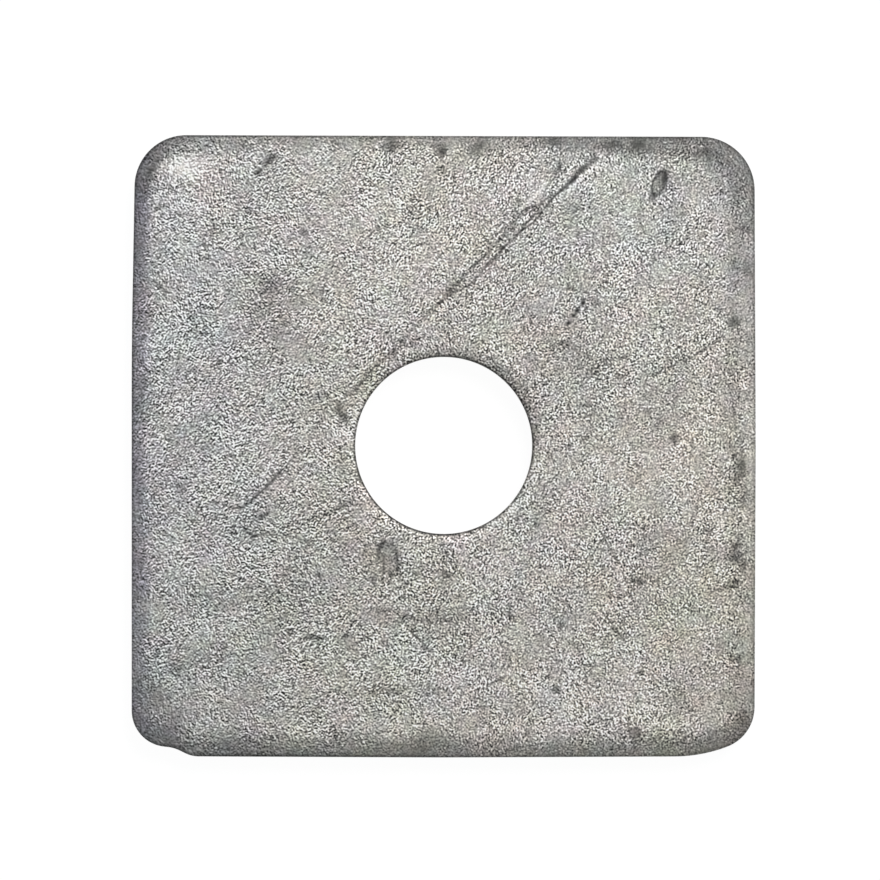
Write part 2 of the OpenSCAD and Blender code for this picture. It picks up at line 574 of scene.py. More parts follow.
@dataclass(frozen=True)
class ZincFinish:
    """Weathered hot-dip zinc: a fine crinkled grain in grey, whose brightest flecks are painted glints.

    Attributes:
        name: name of the material.
        colour: mean colour of the face before its tints, linear.
        metallic: share of the surface that shines as metal.
        roughness: mean roughness.
        roughness_swing: how far the grain moves the roughness.
        cell: size of one tuft of crinkles, mm.
        waves: crinkles in a tuft.
        speckle: coarser lumps among the crinkles.
        speckle_share: strength of those lumps beside the crinkles.
        drag: lines that the shear left on the walls.
        contrast: strength of the grain in the colour.
        relief: height of the grain, mm.
        gamma: how the grain's even steps read as light, lifting its brightest flecks into painted glints.
        least, most: limits of the grain's darkening and of the colour, the upper one high enough for the
            painted glints.
    """

    name: str = "weathered_zinc"
    colour: Colour = (0.415, 0.415, 0.415)
    metallic: float = 0.35
    roughness: float = 0.58
    roughness_swing: float = 0.5
    cell: float = 0.275
    waves: float = 1.0
    speckle: Lumps = Lumps(0.34, wander=0.5)
    speckle_share: float = 0.3
    drag: Lumps = Lumps(0.22, (1.0, 1.0, 0.06))
    contrast: float = 2.54
    relief: float = 0.012
    gamma: float = 2.3
    least: float = 0.2
    most: float = 0.98

    def material(self) -> bpy.types.Material:
        """Makes the finish as a material.

        Returns:
            The material, which reads the values that the mesh carries.
        """
        made = bpy.data.materials.new(self.name)
        made.use_nodes = True
        tree = made.node_tree
        tree.nodes.clear()
        output = tree.nodes.new("ShaderNodeOutputMaterial")
        shader = tree.nodes.new("ShaderNodeBsdfPrincipled")
        shader.inputs["Metallic"].default_value = self.metallic
        tree.links.new(shader.outputs["BSDF"], output.inputs["Surface"])

        swing = self.combine(tree, "MULTIPLY", self.grain(tree), self.carried(tree, Layer.GRAIN, "Fac"))
        level = self.combine(tree, "MULTIPLY_ADD", swing, self.contrast, 1.0)
        shade = self.combine(tree, "POWER", self.combine(tree, "MAXIMUM", level, self.least), self.gamma)
        # The carried colour holds painted shade and highlights besides the zinc's tints, and the grain adds
        # painted glints
        tinted = tree.nodes.new("ShaderNodeVectorMath")
        tinted.operation = "SCALE"
        tree.links.new(self.carried(tree, Layer.TINT_AND_PAINTED_LIGHT, "Color"), tinted.inputs[0])
        tree.links.new(shade, tinted.inputs["Scale"])
        capped = tree.nodes.new("ShaderNodeVectorMath")
        capped.operation = "MINIMUM"
        capped.inputs[1].default_value = (self.most, self.most, self.most)
        tree.links.new(tinted.outputs["Vector"], capped.inputs[0])
        tree.links.new(capped.outputs["Vector"], shader.inputs["Base Color"])

        rough = self.combine(tree, "MULTIPLY_ADD", swing, -self.roughness_swing, self.roughness)
        tree.links.new(rough, shader.inputs["Roughness"])
        tree.links.new(self.bumped(tree, swing), shader.inputs["Normal"])
        return made

    def grain(self, tree: bpy.types.NodeTree) -> bpy.types.NodeSocket:
        """Adds the crinkles, which run as the mesh says, and the lumps among them, either side of 0."""
        crinkle = tree.nodes.new("ShaderNodeTexGabor")
        crinkle.gabor_type = "2D"
        crinkle.inputs["Scale"].default_value = 1.0 / (self.cell * MM)
        crinkle.inputs["Frequency"].default_value = self.waves
        tree.links.new(self.carried(tree, Layer.PLACE, "Vector"), crinkle.inputs["Vector"])
        tree.links.new(self.carried(tree, Layer.RUN, "Fac"), crinkle.inputs["Anisotropy"])
        tree.links.new(self.carried(tree, Layer.HEADING, "Fac"), crinkle.inputs["Orientation 2D"])
        waved = self.combine(tree, "SUBTRACT", crinkle.outputs["Value"], 0.5)
        lumps = self.combine(tree, "SUBTRACT", self.noise(tree, self.speckle), 0.5)
        return self.combine(tree, "MULTIPLY_ADD", lumps, self.speckle_share, waved)

    def bumped(
        self, tree: bpy.types.NodeTree, swing: bpy.types.NodeSocket
    ) -> bpy.types.NodeSocket:
        """Adds the grain's relief and the shear's drag lines.

        Args:
            tree: nodes of the material.
            swing: the grain, either side of 0.

        Returns:
            The normal.
        """
        drag = self.combine(tree, "SUBTRACT", self.noise(tree, self.drag), 0.5)
        lines = self.combine(tree, "MULTIPLY", drag, self.carried(tree, Layer.DRAG, "Fac"))
        height = self.combine(tree, "ADD", swing, lines)
        bump = tree.nodes.new("ShaderNodeBump")
        bump.inputs["Strength"].default_value = 1.0
        bump.inputs["Distance"].default_value = self.relief * MM
        tree.links.new(height, bump.inputs["Height"])
        return bump.outputs["Normal"]

    @staticmethod
    def noise(tree: bpy.types.NodeTree, lumps: Lumps) -> bpy.types.NodeSocket:
        """Adds a noise in the plate's own frame, level with its upper face.

        Args:
            tree: nodes of the material.
            lumps: the noise's size and run.

        Returns:
            The noise, either side of 0.5.
        """
        place = tree.nodes.new("ShaderNodeTexCoord")
        mapping = tree.nodes.new("ShaderNodeMapping")
        mapping.inputs["Location"].default_value = (0.0, 0.0, -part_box("plate")[1].z * lumps.stretch[2])
        mapping.inputs["Scale"].default_value = lumps.stretch
        tree.links.new(place.outputs["Object"], mapping.inputs["Vector"])
        made = tree.nodes.new("ShaderNodeTexNoise")
        made.inputs["Scale"].default_value = 1.0 / (lumps.pitch * MM)
        made.inputs["Detail"].default_value = 0.0
        made.inputs["Distortion"].default_value = lumps.wander
        tree.links.new(mapping.outputs["Vector"], made.inputs["Vector"])
        return made.outputs["Fac"]

    @staticmethod
    def carried(tree: bpy.types.NodeTree, layer: Layer, output: str) -> bpy.types.NodeSocket:
        """Adds a node that reads a value that the mesh carries."""
        node = tree.nodes.new("ShaderNodeAttribute")
        node.attribute_name = layer.value
        return node.outputs[output]

    @staticmethod
    def combine(
        tree: bpy.types.NodeTree, operation: str, *values: bpy.types.NodeSocket | float
    ) -> bpy.types.NodeSocket:
        """Adds a node that combines values.

        Args:
            tree: nodes of the material.
            operation: Blender's name for how they are combined.
            values: its inputs, sockets or plain numbers.

        Returns:
            The result.
        """
        node = tree.nodes.new("ShaderNodeMath")
        node.operation = operation
        for socket, value in zip(node.inputs, values):
            if isinstance(value, bpy.types.NodeSocket):
                tree.links.new(value, socket)
            else:
                socket.default_value = value
        return node.outputs["Value"]


@dataclass(frozen=True)
class PaintedEdgeLightAndDirt:
    """How the rolled edge is painted in one direction from the middle: painted shade of the roll with some
    dirt, and a painted highlight where the foot is above 1.

    Attributes:
        heading: direction, degrees from the right side.
        width: how far in from the edge the painted band reaches, mm.
        foot: brightness at the edge, beside the face.
        line: brightness of the dark line painted on the arris itself, shade with some dirt, beside the band.
    """

    heading: float
    width: float
    foot: float
    line: float


# Painted shade of the sheared edge's roll, with some dirt, and a painted highlight at the right side;
# counter-clockwise from the right side
OUTER_PAINTED_LIGHT_AND_DIRT: tuple[PaintedEdgeLightAndDirt, ...] = (
    PaintedEdgeLightAndDirt(0.0, 1.0, 1.12, 0.66),
    PaintedEdgeLightAndDirt(36.0, 1.8, 0.70, 0.58),
    PaintedEdgeLightAndDirt(45.0, 2.4, 0.37, 0.62),
    PaintedEdgeLightAndDirt(54.0, 1.8, 0.37, 0.58),
    PaintedEdgeLightAndDirt(90.0, 1.1, 0.56, 0.64),
    PaintedEdgeLightAndDirt(126.0, 1.3, 0.50, 0.44),
    PaintedEdgeLightAndDirt(135.0, 2.0, 0.36, 0.42),
    PaintedEdgeLightAndDirt(144.0, 1.7, 0.48, 0.44),
    PaintedEdgeLightAndDirt(180.0, 1.4, 0.58, 0.46),
    PaintedEdgeLightAndDirt(216.0, 2.0, 0.68, 0.70),
    PaintedEdgeLightAndDirt(225.0, 2.8, 0.46, 0.42),
    PaintedEdgeLightAndDirt(234.0, 2.3, 0.48, 0.28),
    PaintedEdgeLightAndDirt(270.0, 2.2, 0.54, 0.42),
    PaintedEdgeLightAndDirt(306.0, 2.2, 0.59, 0.64),
    PaintedEdgeLightAndDirt(315.0, 2.2, 0.51, 0.58),
    PaintedEdgeLightAndDirt(324.0, 1.8, 0.82, 0.60),
)

# Painted shade and painted highlights on the hole's rolled upper mouth, with some dirt; counter-clockwise
# from the right
HOLE_PAINTED_LIGHT_AND_DIRT: tuple[PaintedEdgeLightAndDirt, ...] = (
    PaintedEdgeLightAndDirt(0.0, 0.8, 0.80, 0.26),
    PaintedEdgeLightAndDirt(30.0, 1.2, 0.56, 0.26),
    PaintedEdgeLightAndDirt(60.0, 1.2, 0.56, 0.26),
    PaintedEdgeLightAndDirt(90.0, 0.9, 0.70, 0.26),
    PaintedEdgeLightAndDirt(120.0, 0.8, 0.98, 0.26),
    PaintedEdgeLightAndDirt(150.0, 0.9, 1.26, 0.26),
    PaintedEdgeLightAndDirt(180.0, 0.9, 1.18, 0.26),
    PaintedEdgeLightAndDirt(210.0, 0.8, 0.84, 0.22),
    PaintedEdgeLightAndDirt(240.0, 0.8, 0.80, 0.12),
    PaintedEdgeLightAndDirt(270.0, 0.9, 0.94, 0.12),
    PaintedEdgeLightAndDirt(300.0, 1.0, 1.48, 0.24),
    PaintedEdgeLightAndDirt(330.0, 1.0, 1.66, 0.26),
)

# The long gouge, from its head near the back side to where it dies out beside the hole
GOUGE: tuple[Mark, ...] = (
    Scratch(((12.15, 22.95), (11.5, 22.4), (11.0, 22.0)), 0.22, 0.29, 0.09, 0.36, 1.0, 0.03, 1.3, smear=0.4),
    Scratch(((11.0, 22.0), (10.6, 21.6), (10.2, 21.1)), 0.29, 0.21, 0.08, 0.36, 0.95, 0.02, 1.3, smear=0.4),
    Scratch(((10.6, 21.5), (9.8, 20.7), (9.4, 20.4)), 0.17, 0.14, 0.08, 0.24, 1.0, 0.02, 1.2, smear=0.4),
    Scratch(((9.4, 20.4), (8.8, 19.9), (7.8, 18.6)), 0.12, 0.11, 0.06, 0.16, 1.0, ragged=0.2, smear=0.5),
    Scratch(((7.8, 18.6), (7.3, 18.5), (6.9, 18.05), (6.4, 17.6)), 0.09, 0.09, 0.05, 0.16, 1.0, smear=0.6),
    Scratch(((7.8, 18.6), (7.15, 17.85), (6.65, 17.5), (6.2, 17.2)), 0.09, 0.1, 0.05, 0.16, 1.0, smear=0.6),
    Scratch(((6.4, 17.4), (5.6, 16.5), (4.7, 15.8)), 0.1, 0.11, 0.06, 0.22, 1.0, ragged=0.2, smear=0.4),
    Dent((4.76, 15.83), 0.28, 0.17, 40.0, 0.03, 0.26, 1.0, 0.4),
    Scratch(((4.7, 15.7), (4.2, 15.0), (3.5, 14.5)), 0.13, 0.2, 0.05, 0.32, 1.0, ragged=0.1, smear=0.3),
    Scratch(((3.5, 14.5), (2.8, 13.6), (2.0, 12.8)), 0.13, 0.11, 0.03, 0.3, 1.0, ragged=0.2, smear=0.2),
    Scratch(((2.0, 12.8), (1.3, 12.4), (0.6, 12.2)), 0.12, 0.13, 0.03, 0.44, 0.9, ragged=0.3),
    Scratch(((0.6, 12.3), (0.2, 11.9), (-0.2, 11.5)), 0.24, 0.2, 0.04, 0.36, 1.0, ragged=0.1, smear=0.3),
    Scratch(((-0.2, 11.5), (-2.0, 9.9), (-3.4, 8.3)), 0.14, 0.14, 0.02, 0.46, 1.0, ragged=0.3),
)

# The fainter line beside the gouge and the bright ridges that the two pushed up
GOUGE_SIDE: tuple[Mark, ...] = (
    Scratch(((9.3, 22.4), (8.9, 21.5), (8.0, 20.4)), 0.13, 0.12, 0.02, 0.5, 0.9, ragged=0.4),
    Scratch(((7.2, 19.2), (6.1, 18.5), (5.4, 17.3)), 0.17, 0.19, 0.03, 0.38, 0.9, ragged=0.2),
    Scratch(((5.4, 17.3), (4.3, 16.2), (2.6, 14.5)), 0.19, 0.17, 0.04, 0.34, 1.0, ragged=0.4),
    Scratch(((2.6, 14.5), (1.4, 13.2), (0.4, 12.4)), 0.17, 0.17, 0.03, 0.34, 1.0, ragged=0.2),
    Scratch(((8.7, 20.1), (7.9, 19.5), (7.2, 18.8)), 0.1, 0.1, 0.02, 0.3, 1.0, smear=0.3),
    Scratch(((8.3, 21.0), (7.2, 19.9), (6.0, 18.7)), 0.17, 0.15, -0.01, 1.75, 0.9, smear=0.6),
    Scratch(((7.6, 18.45), (7.0, 17.9), (6.5, 17.45)), 0.08, 0.08, -0.01, 1.8, 1.0, smear=0.4),
    Scratch(((12.3, 22.6), (12.1, 22.1)), 0.13, 0.11, -0.01, 1.6, 1.0, smear=0.5),
    Scratch(((11.8, 21.9), (11.3, 22.0)), 0.12, 0.1, -0.01, 1.5, 1.0, smear=0.4),
    Scratch(((11.8, 20.95), (11.65, 20.4)), 0.12, 0.1, -0.01, 1.6, 1.0, smear=0.5),
    Scratch(((10.5, 20.85), (10.0, 20.4)), 0.17, 0.14, -0.01, 1.6, 1.0, smear=0.5),
    Scratch(((10.8, 22.3), (10.3, 22.1), (9.7, 21.5)), 0.13, 0.12, -0.01, 1.5, 1.0, ragged=0.2, smear=0.4),
    Scratch(((9.3, 20.2), (9.4, 19.75)), 0.1, 0.1, -0.01, 1.6, 1.0, smear=0.4),
    Scratch(((6.6, 18.3), (4.3, 15.9), (3.0, 14.6)), 0.15, 0.15, -0.005, 1.3, 0.9, ragged=0.3),
)

# Smaller scratches
SCRATCHES: tuple[Mark, ...] = (
    Scratch(((-11.1, -0.1), (-13.2, -2.2)), 0.11, 0.11, 0.02, 0.5, 1.0, ragged=0.2),
    Scratch(((-13.2, -2.2), (-13.7, -2.8)), 0.2, 0.16, 0.04, 0.26, 1.0, smear=0.4),
    Scratch(((-13.7, -2.8), (-14.6, -3.7), (-16.3, -5.1)), 0.1, 0.1, 0.02, 0.2, 1.0, ragged=0.3, smear=0.3),
    Scratch(((-16.3, -5.1), (-17.3, -4.9), (-18.4, -4.5)), 0.1, 0.1, 0.02, 0.32, 0.8, ragged=0.4, smear=0.2),
    Scratch(((-17.7, -5.9), (-19.2, -5.7)), 0.12, 0.12, 0.02, 0.4, 0.9, ragged=0.3),
    Scratch(((-16.0, -6.4), (-15.8, -7.0), (-15.3, -7.3)), 0.12, 0.13, 0.02, 0.38, 0.8, ragged=0.4),
    Scratch(((-15.3, -7.3), (-13.6, -6.9)), 0.15, 0.13, 0.03, 0.16, 1.0, ragged=0.3, smear=0.4),
    Scratch(((-13.1, -6.7), (-11.2, -6.0), (-9.8, -5.6)), 0.13, 0.13, 0.01, 0.5, 1.0, ragged=0.2),
    Scratch(((-9.6, -5.6), (-8.4, -5.0), (-7.6, -4.5)), 0.15, 0.13, 0.02, 0.34, 0.9, ragged=0.2, smear=0.2),
    Scratch(((-6.4, -13.4), (-4.4, -13.2), (-2.9, -13.7)), 0.14, 0.14, 0.01, 0.55, 1.0, ragged=0.6),
    Scratch(((-2.9, -13.8), (-1.2, -14.2), (2.2, -13.6)), 0.14, 0.13, 0.02, 0.5, ragged=0.5),
    Scratch(((-2.9, -14.6), (-1.1, -16.5)), 0.1, 0.1, 0.02, 0.34, 1.0, ragged=0.4, smear=0.2),
    Scratch(((3.5, -19.2), (4.8, -18.6)), 0.09, 0.09, 0.02, 0.2, 1.0, ragged=0.2, smear=0.4),
    Scratch(((16.6, 5.6), (19.8, 7.0), (22.0, 8.4)), 0.13, 0.13, 0.02, 0.48, 1.0, ragged=0.2),
    Scratch(((15.9, 19.9), (15.5, 17.7)), 0.14, 0.14, 0.02, 0.58, 0.8, ragged=0.1),
    Scratch(((12.7, -7.1), (13.9, -9.3)), 0.1, 0.1, 0.02, 0.3, 0.9, ragged=0.2, smear=0.3),
    Scratch(((12.6, -10.9), (12.9, -11.7), (14.0, -12.2)), 0.15, 0.15, 0.01, 0.58, 1.0, ragged=0.3),
    Scratch(((14.0, -12.2), (15.3, -11.6), (16.3, -10.5)), 0.15, 0.15, 0.01, 0.58, 1.0, ragged=0.3),
    Scratch(((12.6, -13.2), (13.5, -14.3), (14.4, -15.6)), 0.09, 0.09, 0.02, 0.2, 1.0, ragged=0.3, smear=0.4),
    Scratch(((9.6, -17.9), (13.5, -17.5)), 0.13, 0.13, 0.01, 0.66, 1.0, ragged=0.3),
    Scratch(((21.4, -11.7), (23.0, -11.4)), 0.16, 0.16, 0.01, 0.62, 1.0, ragged=0.2),
    Scratch(((-7.9, -20.0), (-4.7, -19.6), (-3.4, -19.8)), 0.16, 0.16, 0.01, 0.66, 1.0, ragged=0.4),
    Scratch(((-2.8, 8.1), (-4.1, 7.5), (-5.4, 6.4)), 0.18, 0.18, 0.03, 0.42, 1.0, ragged=0.4),
    Scratch(((-5.4, 6.4), (-6.6, 5.0), (-7.6, 4.0)), 0.16, 0.16, 0.03, 0.48, 1.0, ragged=0.4),
    Scratch(((-14.9, 21.8), (-14.2, 22.4), (-13.9, 23.0)), 0.14, 0.14, 0.03, 0.3, 1.0),
)

# Smudges in the rolled edge along the back side
BACK_SMUDGES: tuple[Mark, ...] = (
    Dent((-4.2, 24.1), 0.7, 0.6, 90.0, 0.04, 0.36, 1.0, 0.4),
    Dent((-0.3, 23.7), 0.75, 0.6, 90.0, 0.04, 0.38, 1.0, 0.4),
    Dent((-0.1, 23.5), 0.4, 0.26, 60.0, 0.04, 0.3, 1.0, 0.4),
    Dent((-0.2, 22.1), 0.34, 0.3, 0.0, 0.02, 0.42),
    Dent((2.6, 23.8), 0.8, 0.55, 30.0, 0.04, 0.42, 1.0, 0.5),
    Dent((8.7, 24.3), 0.7, 0.4, 0.0, 0.04, 0.4, 1.0, 0.4),
    Dent((13.5, 24.1), 0.8, 0.45, 0.0, 0.04, 0.4, 1.0, 0.4),
    Dent((21.0, 23.3), 0.6, 0.5, -30.0, 0.04, 0.72, 1.0, 0.3),
)

# Dark specks towards the back left corner
BACK_LEFT_SPECKS: tuple[Mark, ...] = (
    Dent((-13.9, 22.9), 0.75, 0.5, 10.0, 0.04, 0.46, 1.0, 0.3),
    Dent((-14.9, 21.9), 0.4, 0.32, 40.0, 0.04, 0.48),
    Dent((-15.6, 18.9), 0.32, 0.32, 90.0, 0.04, 0.48),
    Dent((-11.2, 17.0), 0.4, 0.32, -30.0, 0.04, 0.42),
    Dent((-18.4, 17.5), 0.48, 0.32, 60.0, 0.02, 0.54),
    Dent((-19.2, 16.0), 0.28, 0.24, 0.0, 0.04, 0.48),
    Dent((-22.8, 12.7), 0.72, 0.28, -50.0, 0.04, 0.42),
    Dent((-20.2, 10.2), 0.4, 0.28, 0.0, 0.02, 0.52),
    Dent((-15.6, 9.3), 0.4, 0.2, 0.0, 0.02, 0.52),
    Dent((-13.9, 13.1), 0.88, 0.72, 0.0, 0.02, 0.54),
    Dent((-14.3, 12.3), 0.32, 0.32, 0.0, 0.02, 0.54),
    Dent((-12.2, 12.5), 0.32, 0.32, 0.0, 0.02, 0.54),
    Dent((-14.0, 15.5), 0.4, 0.2, 10.0, 0.02, 0.54),
)

# Dark specks left of the hole and round its upper left
LEFT_SPECKS: tuple[Mark, ...] = (
    Dent((-22.0, 0.4), 0.36, 0.16, -10.0, 0.04, 0.42),
    Dent((-12.9, 2.3), 0.4, 0.16, 30.0, 0.02, 0.52),
    Dent((-10.0, 1.7), 0.56, 0.2, 55.0, 0.02, 0.52),
    Dent((-8.4, 3.0), 0.5, 0.36, 60.0, 0.04, 0.36, 1.0, 0.4),
    Dent((-8.0, 2.2), 0.6, 0.38, -45.0, 0.05, 0.28, 1.0, 0.4),
    Dent((-3.4, 8.3), 0.32, 0.28, 0.0, 0.04, 0.48),
    Dent((-2.6, 8.0), 0.32, 0.24, 0.0, 0.04, 0.48),
    Dent((-2.1, 8.5), 0.32, 0.24, 0.0, 0.04, 0.48),
    Dent((-4.0, 7.5), 0.32, 0.28, 0.0, 0.04, 0.48),
)

# Dark specks in the middle and the right of the back half
BACK_SPECKS: tuple[Mark, ...] = (
    Dent((9.3, 22.3), 0.36, 0.14, 82.0, 0.04, 0.3, 1.0, 0.4),
    Dent((10.2, 12.5), 0.56, 0.16, -5.0, 0.04, 0.42),
    Dent((11.15, 11.4), 0.27, 0.2, 70.0, 0.04, 0.0, 1.0, 0.9),
    Dent((10.68, 10.8), 0.25, 0.18, 45.0, 0.04, 0.0, 1.0, 0.9),
    Dent((10.4, 10.38), 0.2, 0.17, 30.0, 0.04, 0.0, 1.0, 0.9),
    Dent((9.97, 9.78), 0.24, 0.17, 45.0, 0.04, 0.02, 1.0, 0.9),
    Dent((9.6, 8.2), 0.4, 0.28, 0.0, 0.02, 0.52),
    Dent((12.9, 6.6), 0.4, 0.32, -40.0, 0.02, 0.52),
    Dent((12.2, 5.8), 0.32, 0.28, 0.0, 0.02, 0.52),
    Dent((14.0, 5.5), 0.4, 0.24, -20.0, 0.04, 0.48),
    Dent((23.2, 9.8), 0.62, 0.48, 25.0, 0.04, 0.34, 1.0, 0.5),
    Dent((21.9, 10.9), 0.34, 0.15, -15.0, 0.04, 0.3),
    Dent((16.3, 2.6), 0.36, 0.28, 0.0, 0.04, 0.46),
    Dent((18.4, 0.5), 0.42, 0.38, 0.0, 0.04, 0.24, 1.0, 0.3),
    Dent((11.5, 3.2), 0.48, 0.24, 15.0, 0.02, 0.52),
    Dent((24.2, 17.3), 0.4, 0.4, 0.0, 0.04, 0.48),
    Dent((24.3, 14.2), 0.96, 0.4, 90.0, 0.02, 0.54),
    Dent((1.9, 11.9), 0.4, 0.24, 0.0, 0.02, 0.52),
)

# Dark specks in the front half, left of the hole's axis
FRONT_LEFT_SPECKS: tuple[Mark, ...] = (
    Dent((-14.6, -5.75), 0.26, 0.2, 20.0, 0.04, 0.2, 1.0, 0.2),
    Dent((-14.2, -5.5), 0.2, 0.18, 0.0, 0.03, 0.34),
    Dent((-19.9, -6.1), 0.4, 0.16, 0.0, 0.04, 0.48),
    Dent((-10.0, -10.5), 0.48, 0.2, -40.0, 0.04, 0.48),
    Dent((-10.3, -15.4), 0.72, 0.26, -10.0, 0.04, 0.3, 1.0, 0.2),
    Dent((-7.9, -15.3), 0.36, 0.2, 20.0, 0.04, 0.48),
    Dent((-12.3, -14.9), 0.32, 0.24, 45.0, 0.04, 0.48),
    Dent((-20.3, -11.9), 0.36, 0.2, -10.0, 0.02, 0.52),
    Dent((-19.0, -12.0), 0.44, 0.2, -20.0, 0.02, 0.52),
    Dent((-5.1, -8.0), 0.48, 0.2, 65.0, 0.04, 0.38),
    Dent((-4.3, -10.4), 0.28, 0.28, 0.0, 0.04, 0.36),
    Dent((-3.7, -10.0), 0.24, 0.24, 0.0, 0.04, 0.42),
    Dent((-5.6, -10.7), 0.28, 0.24, 0.0, 0.04, 0.48),
    Dent((0.2, -10.4), 0.48, 0.32, 10.0, 0.04, 0.36),
    Dent((-3.0, -11.1), 0.4, 0.2, 0.0, 0.04, 0.48),
    Dent((-0.6, -13.3), 0.28, 0.24, 0.0, 0.04, 0.42),
    Dent((-1.4, -16.2), 0.4, 0.24, -20.0, 0.04, 0.48),
    Dent((-7.8, -18.4), 0.32, 0.24, 0.0, 0.02, 0.52),
    Dent((-8.5, -19.6), 0.4, 0.24, 20.0, 0.02, 0.52),
    Dent((-3.9, -19.6), 0.48, 0.16, -25.0, 0.02, 0.52),
    Dent((-1.4, -20.0), 0.4, 0.24, 0.0, 0.02, 0.52),
)

# Dark specks in the front half, right of the hole's axis
FRONT_RIGHT_SPECKS: tuple[Mark, ...] = (
    Dent((5.3, -13.6), 0.56, 0.28, -80.0, 0.04, 0.36),
    Dent((9.4, -14.4), 0.32, 0.28, 90.0, 0.04, 0.46),
    Dent((8.3, -18.6), 0.4, 0.2, 10.0, 0.04, 0.42),
    Dent((8.9, -19.6), 0.36, 0.32, 0.0, 0.04, 0.38),
    Dent((15.5, -10.9), 0.48, 0.32, -30.0, 0.04, 0.38),
    Dent((15.8, -18.2), 0.32, 0.24, -50.0, 0.04, 0.48),
    Dent((23.4, -8.1), 0.42, 0.3, 60.0, 0.04, 0.42),
    Dent((23.4, -9.0), 0.6, 0.5, 0.0, 0.03, 0.46, 1.0, 0.3),
    Dent((24.1, -9.7), 0.5, 0.24, 70.0, 0.04, 0.4),
    Dent((23.2, -11.1), 0.7, 0.34, 12.0, 0.04, 0.46, 1.0, 0.2),
    Dent((21.1, -6.9), 0.4, 0.36, 0.0, 0.04, 0.48),
    Dent((15.5, -1.6), 0.32, 0.17, -40.0, 0.03, 0.24, 1.0, 0.3),
    Dent((23.8, -1.9), 0.95, 0.6, 90.0, 0.02, 0.66, 1.0, 0.3),
    Dent((23.2, -0.9), 0.3, 0.2, 60.0, 0.03, 0.4),
    Dent((23.9, -1.5), 0.34, 0.22, 90.0, 0.03, 0.4),
    Dent((23.5, -2.7), 0.36, 0.2, 30.0, 0.03, 0.4),
    Dent((24.0, -4.3), 0.6, 0.34, 90.0, 0.04, 0.5),
    Dent((23.5, -17.1), 0.48, 0.24, 40.0, 0.04, 0.48),
    Dent((24.0, -22.1), 0.96, 0.72, 45.0, 0.02, 0.54),
)

# Dents and pits
DENTS: tuple[Mark, ...] = (
    Dent((17.25, 21.0), 1.05, 0.52, 68.0, 0.12, 0.62, 0.4, 0.4),
    Dent((17.6, 21.4), 0.6, 0.2, 72.0, 0.03, 0.4, 1.0, 0.4),
    Dent((16.7, 19.9), 0.42, 0.3, 68.0, 0.04, 0.4, 1.0, 0.5),
    Dent((15.5, 24.1), 0.55, 0.5, 0.0, 0.08, 0.40, 0.9, 0.5),
    Dent((-4.4, -9.0), 1.3, 0.85, 98.0, 0.1, 0.76, 0.8, 0.5),
    Scratch(((-4.7, -7.7), (-5.2, -8.4), (-5.2, -9.1)), 0.14, 0.14, 0.03, 0.42, 1.0),
    Scratch(((-4.8, -8.8), (-4.8, -10.2)), 0.13, 0.13, 0.03, 0.46, 1.0),
    Scratch(((-3.8, -8.5), (-3.7, -10.1)), 0.13, 0.13, 0.03, 0.42, 1.0),
    Dent((0.4, -9.6), 0.7, 0.5, 20.0, 0.04, 0.92, 0.75),
    Dent((15.3, -23.0), 0.5, 0.45, 0.0, 0.12, 0.66, 0.62, 0.8),
)
